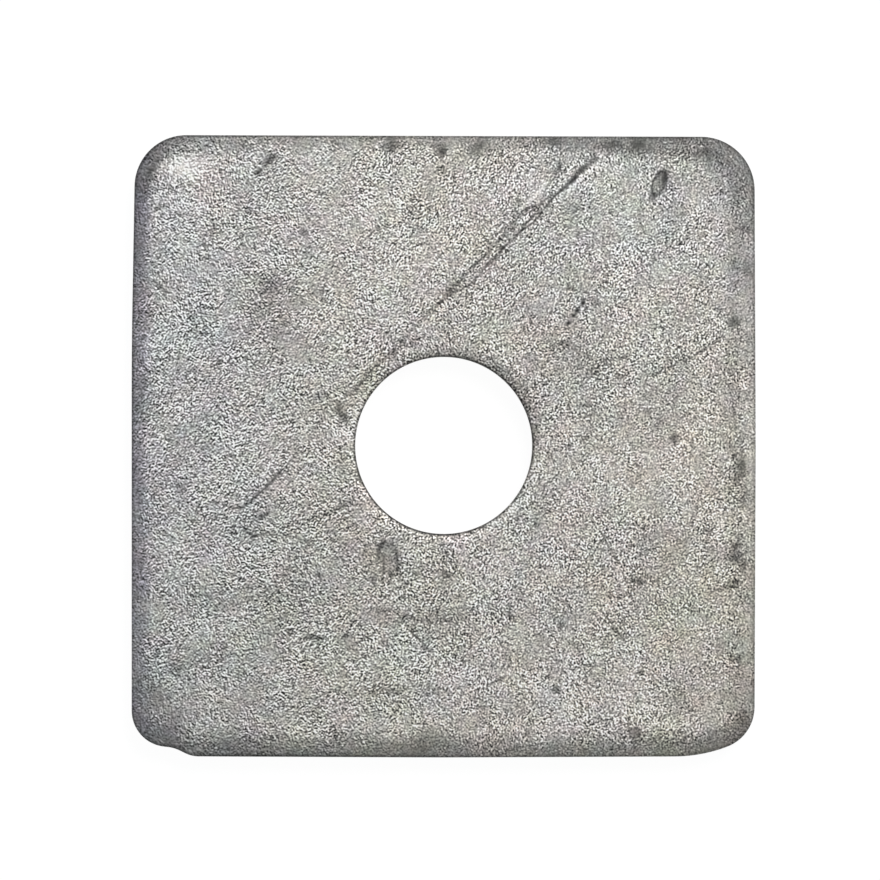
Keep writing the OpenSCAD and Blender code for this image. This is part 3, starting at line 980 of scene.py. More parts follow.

# Dull clouds and bright patches of the zinc, and some patches of painted light and shade, each marked below
CLOUDS_AND_PAINTED_LIGHT: tuple[Mark, ...] = (
    Dent((-14.3, 10.4), 5.0, 2.0, 90.0, 0.0, 0.88),
    Dent((-14.3, 9.2), 2.4, 1.3, 90.0, 0.0, 0.9),
    Dent((-16.1, 16.5), 1.5, 0.7, 110.0, 0.0, 0.86),
    Dent((-12.7, -12.4), 3.0, 2.4, 100.0, 0.0, 0.86),
    Dent((-15.5, -5.8), 1.3, 1.0, 40.0, 0.0, 0.88),
    Dent((23.7, -1.5), 1.3, 0.7, 90.0, 0.0, 0.76),
    Dent((23.6, -8.9), 1.8, 0.7, 90.0, 0.0, 0.80),
    Dent((10.6, 7.2), 3.0, 0.8, -20.0, 0.0, 0.84),
    Dent((-0.8, -13.6), 4.2, 0.7, 4.0, 0.0, 0.82),
    Dent((13.0, -15.2), 1.6, 0.6, 0.0, 0.0, 0.84),
    Dent((-4.5, -19.5), 4.4, 0.5, 2.0, 0.0, 0.86),
    Dent((18.0, -23.6), 2.0, 0.7, 0.0, 0.0, 0.70),
    Dent((-1.4, -24.0), 2.0, 0.6, 0.0, 0.0, 0.76),
    # Painted shade in the front left corner, which faces away from the key light
    Dent((-23.3, -21.8), 2.2, 1.6, 120.0, 0.0, 0.84),
    # Darker band along the gouge: painted shade with a grey smear in it
    Dent((4.2, 16.8), 6.5, 0.9, 46.0, 0.0, 0.90),
    # Painted highlight inside the back left corner
    Dent((-20.9, 22.3), 2.1, 1.1, 0.0, 0.0, 1.8, 1.0, 0.35),
    Dent((-15.5, 21.5), 7.0, 3.0, 0.0, 0.0, 1.0, 1.0, 0.18),
    Dent((-18.2, 18.6), 2.2, 1.8, 0.0, 0.0, 1.16),
    Dent((-10.1, 22.2), 2.2, 1.8, 0.0, 0.0, 1.08),
    Dent((-6.1, 12.9), 3.6, 2.3, 90.0, 0.0, 1.13),
    Dent((23.5, 15.0), 8.0, 2.5, 90.0, 0.0, 0.95, 1.0, 0.25),
    Dent((22.6, 22.0), 3.4, 2.6, -45.0, 0.0, 0.84, 1.0, 0.2),
    Dent((17.0, 24.0), 4.0, 1.0, 0.0, 0.0, 0.84, 1.0, 0.1),
    Dent((-23.2, 3.5), 6.5, 2.2, 90.0, 0.0, 1.0, 1.0, -0.32),
    Dent((9.0, 6.4), 3.6, 1.9, -24.0, 0.0, 0.84),
    Dent((-10.5, -6.4), 3.2, 2.6, 0.0, 0.0, 0.84),
    Dent((-19.0, -6.0), 4.5, 2.0, 0.0, 0.0, 0.93),
    Dent((17.5, -10.0), 2.5, 2.0, 0.0, 0.0, 0.9),
    Dent((1.2, -14.2), 3.0, 1.9, 0.0, 0.0, 0.87),
    Dent((11.8, -18.2), 4.2, 5.0, 0.0, 0.0, 1.16),
    Dent((18.4, -19.8), 1.8, 1.8, 0.0, 0.0, 0.9),
    Dent((12.8, -5.2), 3.4, 2.2, 0.0, 0.0, 1.1),
    # Painted shade in the front left corner, with less grain
    Dent((-22.0, -20.8), 4.0, 3.4, 0.0, 0.0, 0.9, 1.0, 0.32),
    Dent((21.0, -21.0), 3.0, 3.0, 0.0, 0.0, 0.96, 1.0, 0.15),
    Dent((-6.0, -11.2), 6.5, 3.4, 0.0, 0.0, 0.88),
    # Painted highlight inside the back left corner
    Dent((-20.7, 19.3), 1.5, 0.9, 0.0, 0.0, 1.28),
    Dent((-13.5, 14.7), 0.8, 0.6, 0.0, 0.0, 1.20),
    Dent((-14.1, 23.8), 0.5, 0.35, 0.0, 0.0, 1.35),
    Dent((-6.3, 18.5), 3.2, 3.0, 0.0, 0.0, 1.07),
    Dent((14.2, -1.9), 4.0, 3.2, 20.0, 0.0, 1.09),
    Dent((14.4, 14.4), 2.6, 2.3, 30.0, 0.0, 1.1),
    # Painted highlight on the lit part of the hole's rolled mouth
    Dent((-8.0, 0.6), 0.8, 0.6, 90.0, 0.0, 1.22),
    Dent((22.0, -7.0), 0.9, 0.5, 90.0, 0.0, 1.22),
    Dent((2.6, -11.2), 1.7, 0.8, 0.0, 0.0, 1.10),
    Dent((-17.0, -18.0), 8.0, 6.0, 0.0, 0.0, 0.93),
    Scratch(((23.3, 20.5), (23.3, -20.0)), 0.75, 0.75, 0.0, 0.84, 1.0),
    # Painted shade along the inside of the back left corner's roll
    Scratch(((-20.8, 23.5), (-22.2, 23.0), (-22.9, 22.7), (-23.5, 21.9)), 0.3, 0.3, 0.0, 0.66, 1.2),
    Scratch(((-23.5, 21.9), (-23.7, 21.2), (-23.8, 19.9)), 0.36, 0.26, 0.0, 0.56, 0.5),
    Scratch(((3.0, -23.2), (13.6, -23.0)), 0.8, 0.8, 0.0, 1.14, 1.0),
)


def sprinkled(count: int, seed: int, reach: float) -> tuple[Mark, ...]:
    """Scatters faint specks over the face.

    Args:
        count: how many.
        seed: seed of their places and shapes.
        reach: how far they lie from the middle along X and Y, mm.

    Returns:
        The specks.
    """
    chance = np.random.default_rng(seed)
    specks: list[Mark] = []
    for _ in range(count):
        x, y = chance.uniform(-reach, reach, 2)
        length = chance.uniform(0.22, 0.6)
        width = length * chance.uniform(0.35, 0.8)
        shade = chance.uniform(0.6, 0.8)
        specks.append(Dent((x, y), length, width, chance.uniform(-90.0, 90.0), 0.0, shade))
    return tuple(specks)


WEAR_AND_PAINTED_LIGHT: tuple[Mark, ...] = (
    GOUGE
    + GOUGE_SIDE
    + SCRATCHES
    + BACK_SMUDGES
    + BACK_LEFT_SPECKS
    + LEFT_SPECKS
    + BACK_SPECKS
    + FRONT_LEFT_SPECKS
    + FRONT_RIGHT_SPECKS
    + DENTS
    + CLOUDS_AND_PAINTED_LIGHT
    + sprinkled(count=160, seed=81, reach=24.0)
)


@dataclass
class PlateWasher:
    """The washer: its sizes, its mesh and its finish.

    Attributes:
        outline: outline from above.
        thickness: thickness of the bar, mm.
        hole_r: radius of the bolt hole.
        roll_w, roll_depth: width and depth of the die roll along the sheared edge.
        arris_r: radius of the worn arris at the foot of the roll.
        torn_h, torn_in: height of the torn band, and how far it leans in at the underside.
        hole_roll_w, hole_roll_depth: width and depth of the roll at the hole's upper mouth.
        hole_arris_r: radius of the worn arris there.
        breakout_h, breakout_out: height of the breakout in the hole, and how far it opens out.
        lattice: spacing of the upper face's mesh.
        fine_lattice: spacing in grooves and dents.
        lower_lattice: spacing of the underside's mesh.
        rim_spacing: spacing of the mesh along the edges.
        wear_and_painted_light: marks on the upper face, some of them painted light and shade.
        outer_painted_light_and_dirt: painted shade and highlights on the rolled edge all round, with some
            dirt.
        hole_painted_light_and_dirt: painted shade and highlights round the hole's mouth, with some dirt.
        finish: what it is coated with.
    """

    outline: Outline
    thickness: float
    hole_r: float
    roll_w: float = 1.2
    roll_depth: float = 0.3
    arris_r: float = 0.12
    torn_h: float = 1.2
    torn_in: float = 0.15
    hole_roll_w: float = 0.8
    hole_roll_depth: float = 0.2
    hole_arris_r: float = 0.08
    breakout_h: float = 1.0
    breakout_out: float = 0.12
    lattice: float = 0.27
    fine_lattice: float = 0.075
    lower_lattice: float = 0.8
    rim_spacing: float = 0.27
    wear_and_painted_light: tuple[Mark, ...] = WEAR_AND_PAINTED_LIGHT
    outer_painted_light_and_dirt: tuple[PaintedEdgeLightAndDirt, ...] = OUTER_PAINTED_LIGHT_AND_DIRT
    hole_painted_light_and_dirt: tuple[PaintedEdgeLightAndDirt, ...] = HOLE_PAINTED_LIGHT_AND_DIRT
    finish: ZincFinish = ZincFinish()

    # Rows of points along the edges, mm in from them, and down the walls, as shares of each band
    RIM_ROWS = (0.03, 0.07, 0.12, 0.18, 0.26, 0.36, 0.48, 0.62, 0.78, 0.96, 1.16)
    HOLE_ROWS = (0.02, 0.05, 0.09, 0.15, 0.23, 0.33, 0.46, 0.62, 0.8)
    BAND_SHARES = (0.12, 0.3, 0.5, 0.7, 0.88, 1.0)
    # Flat map for a bake: its margin, widths of the two faces, pitch of the wall's strips and the hole's
    MAP_MARGIN = 0.01
    MAP_UPPER = 0.65
    MAP_LOWER = 0.31
    MAP_STRIP = 0.05
    MAP_HOLE_STRIP = 0.15
    # Depth of a worn arris beside its radius
    ARRIS_FALL = 0.98
    # Radius of the circle along which the hole's unevenness is read, mm
    HOLE_WALK = 10.0
    # Brightness of the walls beside the face, what their torn bands lose, and how much of the face's uneven
    # brightness and painted light they take
    WALL_SHADE = 0.86
    TORN_SHADE = 0.1
    WALL_MOTTLE = 0.5
    # Strength of the grain beside the face: on the walls, added in their torn bands, and at the rim
    WALL_GRAIN = 0.5
    TORN_GRAIN = 0.3
    RIM_GRAIN = 0.62
    # Where the dark lines painted on the arrises end, mm in from the edges; they are painted shade with some
    # dirt
    RIM_LINE = 0.3
    HOLE_LINE = 0.25
    # Strength of the drag lines beside the grain
    DRAG_SHARE = 0.6
    # Places that are measured against the outline at once
    BATCH = 4000

    @classmethod
    def from_frame(cls) -> "PlateWasher":
        """Takes the plate's box and the hole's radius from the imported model.

        Returns:
            The washer, ready to build.
        """
        low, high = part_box("plate")
        mounts = {mount["name"]: mount for mount in frame["record"]["mounts"]}
        outline = Outline(low.x / MM, high.x / MM, low.y / MM, high.y / MM)
        return cls(outline, (high.z - low.z) / MM, mounts["bolt_hole"]["dims"]["r_mm"])

    def build(self) -> bpy.types.Object:
        """Builds and dresses the plate.

        Returns:
            The plate as one closed mesh.
        """
        shell = Shell()
        rim, inward = self.outline.trace(self.rim_spacing)
        hole_count = round(2.0 * math.pi * self.hole_r / self.rim_spacing)
        turns = np.arange(hole_count) * 2.0 * math.pi / hole_count
        ring = np.stack([np.cos(turns), np.sin(turns)], axis=1)
        upper = self.add_upper(shell, rim, inward, ring)
        rim_top = upper[: len(rim)]
        hole_top = upper[len(rim) : len(rim) + hole_count]
        rim_foot = self.add_outer_wall(shell, rim, inward, rim_top)
        hole_foot = self.add_hole_wall(shell, ring, hole_top)
        self.add_lower(shell, rim, rim_foot, hole_foot)
        return self.dress(shell, rim, rim_foot, hole_foot)

    def edge_gap(self, places: Floats, rim: Floats) -> Floats:
        """Distance of places from the outline.

        Args:
            places: points inside the outline, mm.
            rim: points of the outline in order.

        Returns:
            One distance for each place.
        """
        step = np.roll(rim, -1, axis=0) - rim
        squared = np.einsum("ij,ij->i", step, step)
        gaps = np.empty(len(places))
        for start in range(0, len(places), self.BATCH):
            gap = places[start : start + self.BATCH, None, :] - rim[None, :, :]
            share = np.clip(np.einsum("ijk,jk->ij", gap, step) / squared, 0.0, 1.0)
            away = gap - share[:, :, None] * step[None, :, :]
            nearest = np.einsum("ijk,ijk->ij", away, away).min(axis=1)
            gaps[start : start + self.BATCH] = np.sqrt(nearest)
        return gaps

    def hex_points(self, spacing: float) -> Floats:
        """Points of a hexagonal lattice over the outline's box."""
        row_gap = spacing * math.sqrt(3.0) / 2.0
        rows = np.arange(self.outline.front, self.outline.back, row_gap)
        columns = np.arange(self.outline.left, self.outline.right, spacing)
        x, y = np.meshgrid(columns, rows)
        x[1::2] += spacing / 2.0
        return np.stack([x.ravel(), y.ravel()], axis=1)

    def inside(self, places: Floats, rim: Floats, rim_gap: float, hole_gap: float) -> Bools:
        """Places that are this far inside the outline and this far outside the hole.

        Args:
            places: points, mm.
            rim: points of the outline in order.
            rim_gap: least distance from the outline.
            hole_gap: least distance from the hole.

        Returns:
            True for each place that is.
        """
        following = np.roll(rim, -1, axis=0)
        crossed = np.zeros(len(places), bool)
        for (x0, y0), (x1, y1) in zip(rim, following):
            if y0 == y1:
                continue
            spans = (places[:, 1] < y0) != (places[:, 1] < y1)
            crossing = x0 + (places[:, 1] - y0) * (x1 - x0) / (y1 - y0)
            crossed ^= spans & (places[:, 0] < crossing)
        outside_hole = np.hypot(places[:, 0], places[:, 1]) > self.hole_r + hole_gap
        return crossed & outside_hole & (self.edge_gap(places, rim) > rim_gap)

    def upper_height(self, places: Floats, rim_gap: Floats) -> Floats:
        """Height of the upper face.

        Args:
            places: points on the face, mm.
            rim_gap: their distances from the outline.

        Returns:
            One height for each place, mm.
        """
        hole_gap = np.hypot(places[:, 0], places[:, 1]) - self.hole_r
        height = np.full(len(places), self.thickness)
        height -= arc_drop(rim_gap, self.roll_w, self.roll_depth)
        height -= arc_drop(rim_gap, self.arris_r, self.arris_r * self.ARRIS_FALL)
        height -= arc_drop(hole_gap, self.hole_roll_w, self.hole_roll_depth)
        height -= arc_drop(hole_gap, self.hole_arris_r, self.hole_arris_r * self.ARRIS_FALL)
        height += total(FACE_LUMPS, places) - sum(noise.swing for noise in FACE_LUMPS)
        for mark in self.wear_and_painted_light:
            height += mark.height(places)
        return height

    def add_upper(self, shell: Shell, rim: Floats, inward: Floats, ring: Floats) -> Ints:
        """Adds the upper face.

        Args:
            shell: mesh so far.
            rim: points of the outline.
            inward: directions into the plate at those points.
            ring: directions from the hole's axis to its edge.

        Returns:
            Numbers of the points: first the outline's, then the hole's.
        """
        rows = [rim, ring * self.hole_r]
        far = np.full(len(ring), self.roll_w * 4.0)
        gaps = [np.zeros(len(rim)), far]
        for row in self.RIM_ROWS:
            rows.append(rim + inward * row)
            gaps.append(np.full(len(rim), row))
        for row in self.HOLE_ROWS:
            rows.append(ring * (self.hole_r + row))
            gaps.append(far)
        clear = 0.6 * self.lattice
        last_rim = self.RIM_ROWS[-1] + clear
        last_hole = self.HOLE_ROWS[-1] + clear
        coarse = self.hex_points(self.lattice)
        fine = self.hex_points(self.fine_lattice)
        coarse = coarse[~self.worn(coarse)]
        fine = fine[self.worn(fine)]
        for lattice in (coarse, fine):
            kept = lattice[self.inside(lattice, rim, last_rim, last_hole)]
            rows.append(kept)
            gaps.append(self.edge_gap(kept, rim))
        places = np.concatenate(rows)
        height = self.upper_height(places, np.concatenate(gaps))
        numbers = shell.add_points(np.column_stack([places, height]))
        shell.add_faces(numbers[self.triangles(places, len(rim), len(ring))], Side.UPPER)
        return numbers

    def worn(self, places: Floats) -> Bools:
        """Places in a groove or a dent."""
        found = np.zeros(len(places), bool)
        for mark in self.wear_and_painted_light:
            found |= mark.core(places)
        return found

    @staticmethod
    def triangles(places: Floats, rim_count: int, hole_count: int) -> Ints:
        """Triangles between points of one face, facing up.

        Args:
            places: points, first the outline's and then the hole's.
            rim_count: number of points in the outline.
            hole_count: number of points round the hole.

        Returns:
            Three numbers for each triangle.
        """
        knots = [Vector(place) for place in places]
        result = delaunay_2d_cdt(knots, [], [], 0, 1e-6, True)
        source = np.array([origin[0] for origin in result[3]])
        faces = source[np.array(result[2])]
        on_rim = (faces < rim_count).all(axis=1)
        on_hole = ((faces >= rim_count) & (faces < rim_count + hole_count)).all(axis=1)
        return faces[~(on_rim | on_hole)]

    def add_outer_wall(self, shell: Shell, rim: Floats, inward: Floats, top: Ints) -> Ints:
        """Adds the sheared wall: the burnished land, then the torn band.

        Args:
            shell: mesh so far.
            rim: points of the outline.
            inward: directions into the plate at those points.
            top: numbers of the upper face's outline.

        Returns:
            Numbers of the ring at the underside.
        """
        step = np.hypot(*(np.roll(rim, -1, axis=0) - rim).T)
        along = np.cumsum(step) - WALL_HALF
        top_z = np.concatenate(shell.places)[top][:, 2]
        tear = self.torn_h + total(TEAR_LUMPS, np.column_stack([along, along]))
        above = top
        for share in self.BAND_SHARES:
            height = top_z + (tear - top_z) * share
            above = self.add_wall_row(shell, above, rim, height, Side.OUTER)
        for share in self.BAND_SHARES:
            height = tear * (1.0 - share)
            rough = total(TORN_LUMPS, np.column_stack([along, height * 3.0])) * math.sin(math.pi * share)
            inset = np.maximum(self.torn_in * share + rough, 0.0)
            above = self.add_wall_row(shell, above, rim + inward * inset[:, None], height, Side.OUTER)
        return above

    def add_hole_wall(self, shell: Shell, ring: Floats, top: Ints) -> Ints:
        """Adds the punched wall: the burnished land, then the breakout.

        Args:
            shell: mesh so far.
            ring: directions from the axis.
            top: numbers of the upper face's hole edge.

        Returns:
            Numbers of the ring at the underside.
        """
        around = self.HOLE_WALK * ring
        top_z = np.concatenate(shell.places)[top][:, 2]
        tear = self.breakout_h + total(BREAK_LUMPS, around)
        above = top
        for share in self.BAND_SHARES:
            height = top_z + (tear - top_z) * share
            above = self.add_wall_row(shell, above, ring * self.hole_r, height, Side.HOLE)
        for share in self.BAND_SHARES:
            height = tear * (1.0 - share)
            rough = total(BREAKOUT_LUMPS, around + height[:, None]) * math.sin(math.pi * share)
            radius = self.hole_r + np.maximum(self.breakout_out * share + rough, 0.0)
            above = self.add_wall_row(shell, above, ring * radius[:, None], height, Side.HOLE)
        return above

    @staticmethod
    def add_wall_row(shell: Shell, above: Ints, places: Floats, height: Floats, side: Side) -> Ints:
        """Adds one ring of a wall and the band above it.

        Args:
            shell: mesh so far.
            above: numbers of the ring above.
            places: points of the new ring from above, mm.
            height: heights of those points.
            side: wall that it is on.

        Returns:
            Numbers of the new ring.
        """
        below = shell.add_points(np.column_stack([places, height]))
        if side is Side.OUTER:
            shell.add_band(above, below, side)
        else:
            shell.add_band(below, above, side)
        return below

    def add_lower(self, shell: Shell, rim: Floats, rim_foot: Ints, hole_foot: Ints) -> None:
        """Adds the underside.

        Args:
            shell: mesh so far.
            rim: points of the outline.
            rim_foot: numbers of the outer wall's lowest ring.
            hole_foot: numbers of the hole wall's lowest ring.
        """
        known = np.concatenate(shell.places)
        lattice = self.hex_points(self.lower_lattice)
        rim_gap = self.torn_in + 0.5 * self.lower_lattice
        hole_gap = self.breakout_out + 0.5 * self.lower_lattice
        lattice = lattice[self.inside(lattice, rim, rim_gap, hole_gap)]
        places = np.concatenate([known[rim_foot][:, :2], known[hole_foot][:, :2], lattice])
        height = np.maximum(total(UNDERSIDE_LUMPS, lattice) + 0.004, 0.0)
        middle = shell.add_points(np.column_stack([lattice, height]))
        numbers = np.concatenate([rim_foot, hole_foot, middle])
        faces = self.triangles(places, len(rim_foot), len(hole_foot))
        shell.add_faces(numbers[faces][:, ::-1], Side.LOWER)

    def dress(self, shell: Shell, rim: Floats, rim_foot: Ints, hole_foot: Ints) -> bpy.types.Object:
        """Makes the object and gives it its finish.

        Args:
            shell: the whole mesh.
            rim: points of the outline.
            rim_foot: numbers of the outer wall's lowest ring.
            hole_foot: numbers of the hole wall's lowest ring.

        Returns:
            The object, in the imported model's frame.
        """
        places = np.concatenate(shell.places)
        faces = np.concatenate(shell.faces)
        sides = np.concatenate(shell.sides)
        mesh = bpy.data.meshes.new("plate_washer")
        mesh.from_pydata((places * MM).tolist(), [], faces.tolist())
        mesh.shade_smooth()
        self.crease(mesh, rim_foot, hole_foot)
        self.carry(mesh, places, faces, sides, rim)
        self.unwrap(mesh, places, faces, sides)
        mesh.materials.append(self.finish.material())
        mesh.validate()
        made = bpy.data.objects.new("plate_washer", mesh)
        bpy.context.scene.collection.objects.link(made)
        return made

    @staticmethod
    def crease(mesh: bpy.types.Mesh, *rings: Ints) -> None:
        """Keeps the arrises of the underside sharp.

        Args:
            mesh: mesh of the plate.
            rings: numbers of the points along each arris.
        """
        ends = np.empty(len(mesh.edges) * 2, np.int32)
        mesh.edges.foreach_get("vertices", ends)
        ends = ends.reshape(-1, 2)
        sharp = np.zeros(len(ends), bool)
        for ring in rings:
            on_ring = np.zeros(len(mesh.vertices), bool)
            on_ring[ring] = True
            sharp |= on_ring[ends].all(axis=1)
        mesh.attributes.new("sharp_edge", "BOOLEAN", "EDGE").data.foreach_set("value", sharp)

    def carry(self, mesh: bpy.types.Mesh, places: Floats, faces: Ints, sides: Ints, rim: Floats) -> None:
        """Writes the vertex values that the finish reads, with painted light and shade in the colour.

        Args:
            mesh: mesh of the plate.
            places: its points, mm.
            faces: its triangles.
            sides: the surface that each triangle is on.
            rim: points of the outline.
        """
        flat = places[:, :2]
        on_upper = np.zeros(len(places), bool)
        on_upper[faces[sides == Side.UPPER.value]] = True
        upper = flat[on_upper]
        rim_gap = self.edge_gap(upper, rim)
        torn = 1.0 - ease(places[:, 2], self.torn_h - 0.2, self.torn_h + 0.2)
        brightness = self.WALL_SHADE - self.TORN_SHADE * torn
        brightness *= 1.0 + self.WALL_MOTTLE * (self.mottle_and_painted_light(flat) - 1.0)
        gain = self.WALL_GRAIN + self.TORN_GRAIN * torn
        # Painted shade and highlights of the rolled edges, and a painted brightening towards the back
        brightness[on_upper] = self.mottle_and_painted_light(upper) * self.edge_painted_light_and_dirt(upper, rim_gap)
        gain[on_upper] = self.RIM_GRAIN + (1.0 - self.RIM_GRAIN) * ease(rim_gap, 0.2, 1.6)
        gain *= 1.0 + total(GRAIN_LUMPS, flat)
        gain *= 1.1 - 0.14 * ease(flat[:, 0], -14.0, 16.0)
        # The hues hold a painted cool shade at the left side and a painted warm light by the hole
        tint_and_painted_light = np.array(self.finish.colour) * self.hue(flat)
        for mark in self.wear_and_painted_light:
            brightness[on_upper] *= mark.brightness(upper)
            gain[on_upper] *= 1.0 - mark.plain(upper)
        colour = np.column_stack([tint_and_painted_light * brightness[:, None], np.ones(len(places))])
        heading, run = self.crinkles(flat)
        drag = np.where(on_upper, 0.0, self.DRAG_SHARE * ease(places[:, 2], 0.0, 0.3))
        layer = mesh.attributes.new(Layer.TINT_AND_PAINTED_LIGHT.value, "FLOAT_COLOR", "POINT")
        layer.data.foreach_set("color", colour.ravel())
        carried = {Layer.GRAIN: gain, Layer.HEADING: heading, Layer.RUN: run, Layer.DRAG: drag}
        for name, values in carried.items():
            layer = mesh.attributes.new(name.value, "FLOAT", "POINT")
            layer.data.foreach_set("value", values)

    def unwrap(self, mesh: bpy.types.Mesh, places: Floats, faces: Ints, sides: Ints) -> None:
        """Lays the surfaces out flat for the grain and for a bake.

        On the bake's map the underside lies beside the upper face, and the walls in strips above it.

        Args:
            mesh: mesh of the plate.
            places: its points, mm.
            faces: its triangles.
            sides: the surface that each triangle is on.
        """
        width = self.outline.right - self.outline.left
        scale = self.MAP_UPPER / width
        beside = self.MAP_UPPER + 3.0 * self.MAP_MARGIN
        corners = places[faces]
        flat = corners[:, :, :2] - np.array([self.outline.left, self.outline.front])
        middle = corners.mean(axis=1)
        quarter = np.round(np.arctan2(middle[:, 1], middle[:, 0]) / (math.pi / 2.0)) % 4.0
        turn = quarter[:, None] * math.pi / 2.0
        tangent = corners[:, :, 1] * np.cos(turn) - corners[:, :, 0] * np.sin(turn)
        height = beside + scale * corners[:, :, 2]
        outer_strip = height + self.MAP_STRIP * quarter[:, None]
        hole_start = self.MAP_MARGIN + self.MAP_HOLE_STRIP * quarter[:, None]
        laid = {
            Side.UPPER: self.MAP_MARGIN + scale * flat,
            Side.LOWER: np.array([beside, self.MAP_MARGIN]) + self.MAP_LOWER / width * flat,
            Side.OUTER: np.stack([self.MAP_MARGIN + scale * (tangent + width / 2.0), outer_strip], axis=2),
            Side.HOLE: np.stack(
                [hole_start + scale * (tangent + self.hole_r), height + self.MAP_STRIP * len(Side)], axis=2
            ),
        }
        spread = np.empty((len(faces), 3, 2))
        for side, values in laid.items():
            spread[sides == side.value] = values[sides == side.value]
        mesh.uv_layers.new(name=BAKE_MAP).uv.foreach_set("vector", spread.ravel())
        on_wall = (sides == Side.OUTER.value) | (sides == Side.HOLE.value)
        # Each wall reads the grain in a place of its own, far from the faces
        apart = 3.0 * width * (1.0 + quarter[:, None])
        place = corners.copy()
        place[on_wall, :, 0] = (tangent + apart)[on_wall]
        place[on_wall, :, 1] = corners[on_wall, :, 2]
        layer = mesh.attributes.new(Layer.PLACE.value, "FLOAT_VECTOR", "CORNER")
        layer.data.foreach_set("vector", (place * MM).ravel())

    @staticmethod
    def crinkles(places: Floats) -> tuple[Floats, Floats]:
        """Run of the zinc's crinkles: along X at the left, and turning round with the back side.

        Args:
            places: points, mm.

        Returns:
            The direction across the crinkles in radians, and how much they keep to it.
        """
        x, y = places[:, 0], places[:, 1]
        at_back = ease(y, 6.0, 20.0)
        at_front = 1.0 - ease(y, -14.0, -4.0)
        at_left = 1.0 - ease(x, -14.0, 6.0)
        heading = at_back * (22.0 + 2.3 * x) - 18.0 * at_front
        heading += (80.0 - 48.0 * at_left) * total(RUN_LUMPS, places)
        run = 0.1 + 0.18 * at_left + 0.06 * at_back * (1.0 - at_left)
        return np.radians(heading + 90.0), run

    @staticmethod
    def mottle_and_painted_light(places: Floats) -> Floats:
        """Uneven brightness of the zinc, about 1, with painted light that makes it a little brighter towards
        the back.
        """
        # The rise towards the back is painted light
        return 1.0 + total(MOTTLE_LUMPS, places) + 0.05 * ease(places[:, 1], 5.0, 16.0)

    def edge_painted_light_and_dirt(self, places: Floats, rim_gap: Floats) -> Floats:
        """Brightness painted on the rolled edges, beside the face: painted shade and highlights, with some
        dirt.

        Args:
            places: points on the upper face, mm.
            rim_gap: their distances from the outline.

        Returns:
            One value for each place, 1 on the open face.
        """
        hole_gap = np.hypot(places[:, 0], places[:, 1]) - self.hole_r
        outer = self.band(places, rim_gap, self.outer_painted_light_and_dirt, self.RIM_LINE)
        return outer * self.band(places, hole_gap, self.hole_painted_light_and_dirt, self.HOLE_LINE)

    @staticmethod
    def band(places: Floats, gap: Floats, edges: tuple[PaintedEdgeLightAndDirt, ...], line_end: float) -> Floats:
        """Brightness of one painted band of edge shade and highlight, with some dirt.

        Args:
            places: points on the upper face, mm.
            gap: their distances from the band's edge.
            edges: the band all round, in order of its headings.
            line_end: distance from the edge at which the painted dark line ends.

        Returns:
            One value for each place, 1 beyond the band.
        """
        heading = np.degrees(np.arctan2(places[:, 1], places[:, 0]))
        known = [edge.heading for edge in edges]
        width = np.interp(heading, known, [edge.width for edge in edges], period=360.0)
        foot = np.interp(heading, known, [edge.foot for edge in edges], period=360.0)
        line = np.interp(heading, known, [edge.line for edge in edges], period=360.0)
        reach = gap / width * (1.0 + total(BAND_LUMPS, places))
        rise = 0.35 * np.clip(reach, 0.0, 1.0) + 0.65 * ease(reach, 0.5, 1.1)
        return (foot + (1.0 - foot) * rise) * (line + (1.0 - line) * ease(gap, 0.06, line_end))

    @staticmethod
    def hue(places: Floats) -> Floats:
        """Tint of the zinc: warmer to the right and yellow at the lower right, with a painted bluish shade at
        the left side and a painted warm light beside the hole's upper left.

        Args:
            places: points, mm.

        Returns:
            What red, green and blue are multiplied by at each place.
        """
        x, y = places[:, 0], places[:, 1]
        back_corner = ease(x, 4.0, 16.0) * ease(y, 17.0, 24.0)
        right_of_gouge = ease(x, 2.0, 10.0) * ease(y, 9.0, 19.0)
        shares = {
            Hue.WARM: ease(x, -26.0, -5.0) * (1.0 - 0.45 * right_of_gouge),
            Hue.YELLOW: ease(x, 6.0, 24.0) * (1.0 - ease(y, -2.0, 9.0)),
            Hue.GREEN: (1.0 - ease(y, -14.0, -8.0)) * (1.0 - ease(x, -5.0, 2.0)),
            # Painted cool shade
            Hue.PAINTED_COOL_SHADE: 1.0 - ease(x, -24.2, -23.0),
            Hue.ROSE: bell(np.hypot(x + 19.0, y - 21.5), 4.0) - 0.7 * back_corner,
            # Painted warm light
            Hue.PAINTED_WARM_LIGHT: bell(np.hypot(x + 6.0, y - 5.4), 2.2),
            Hue.PINK: total(PINK_LUMPS, places),
            Hue.GOLD: total(GOLD_LUMPS, places),
        }
        return 1.0 + np.sum([np.outer(share, hue.value) for hue, share in shares.items()], axis=0)


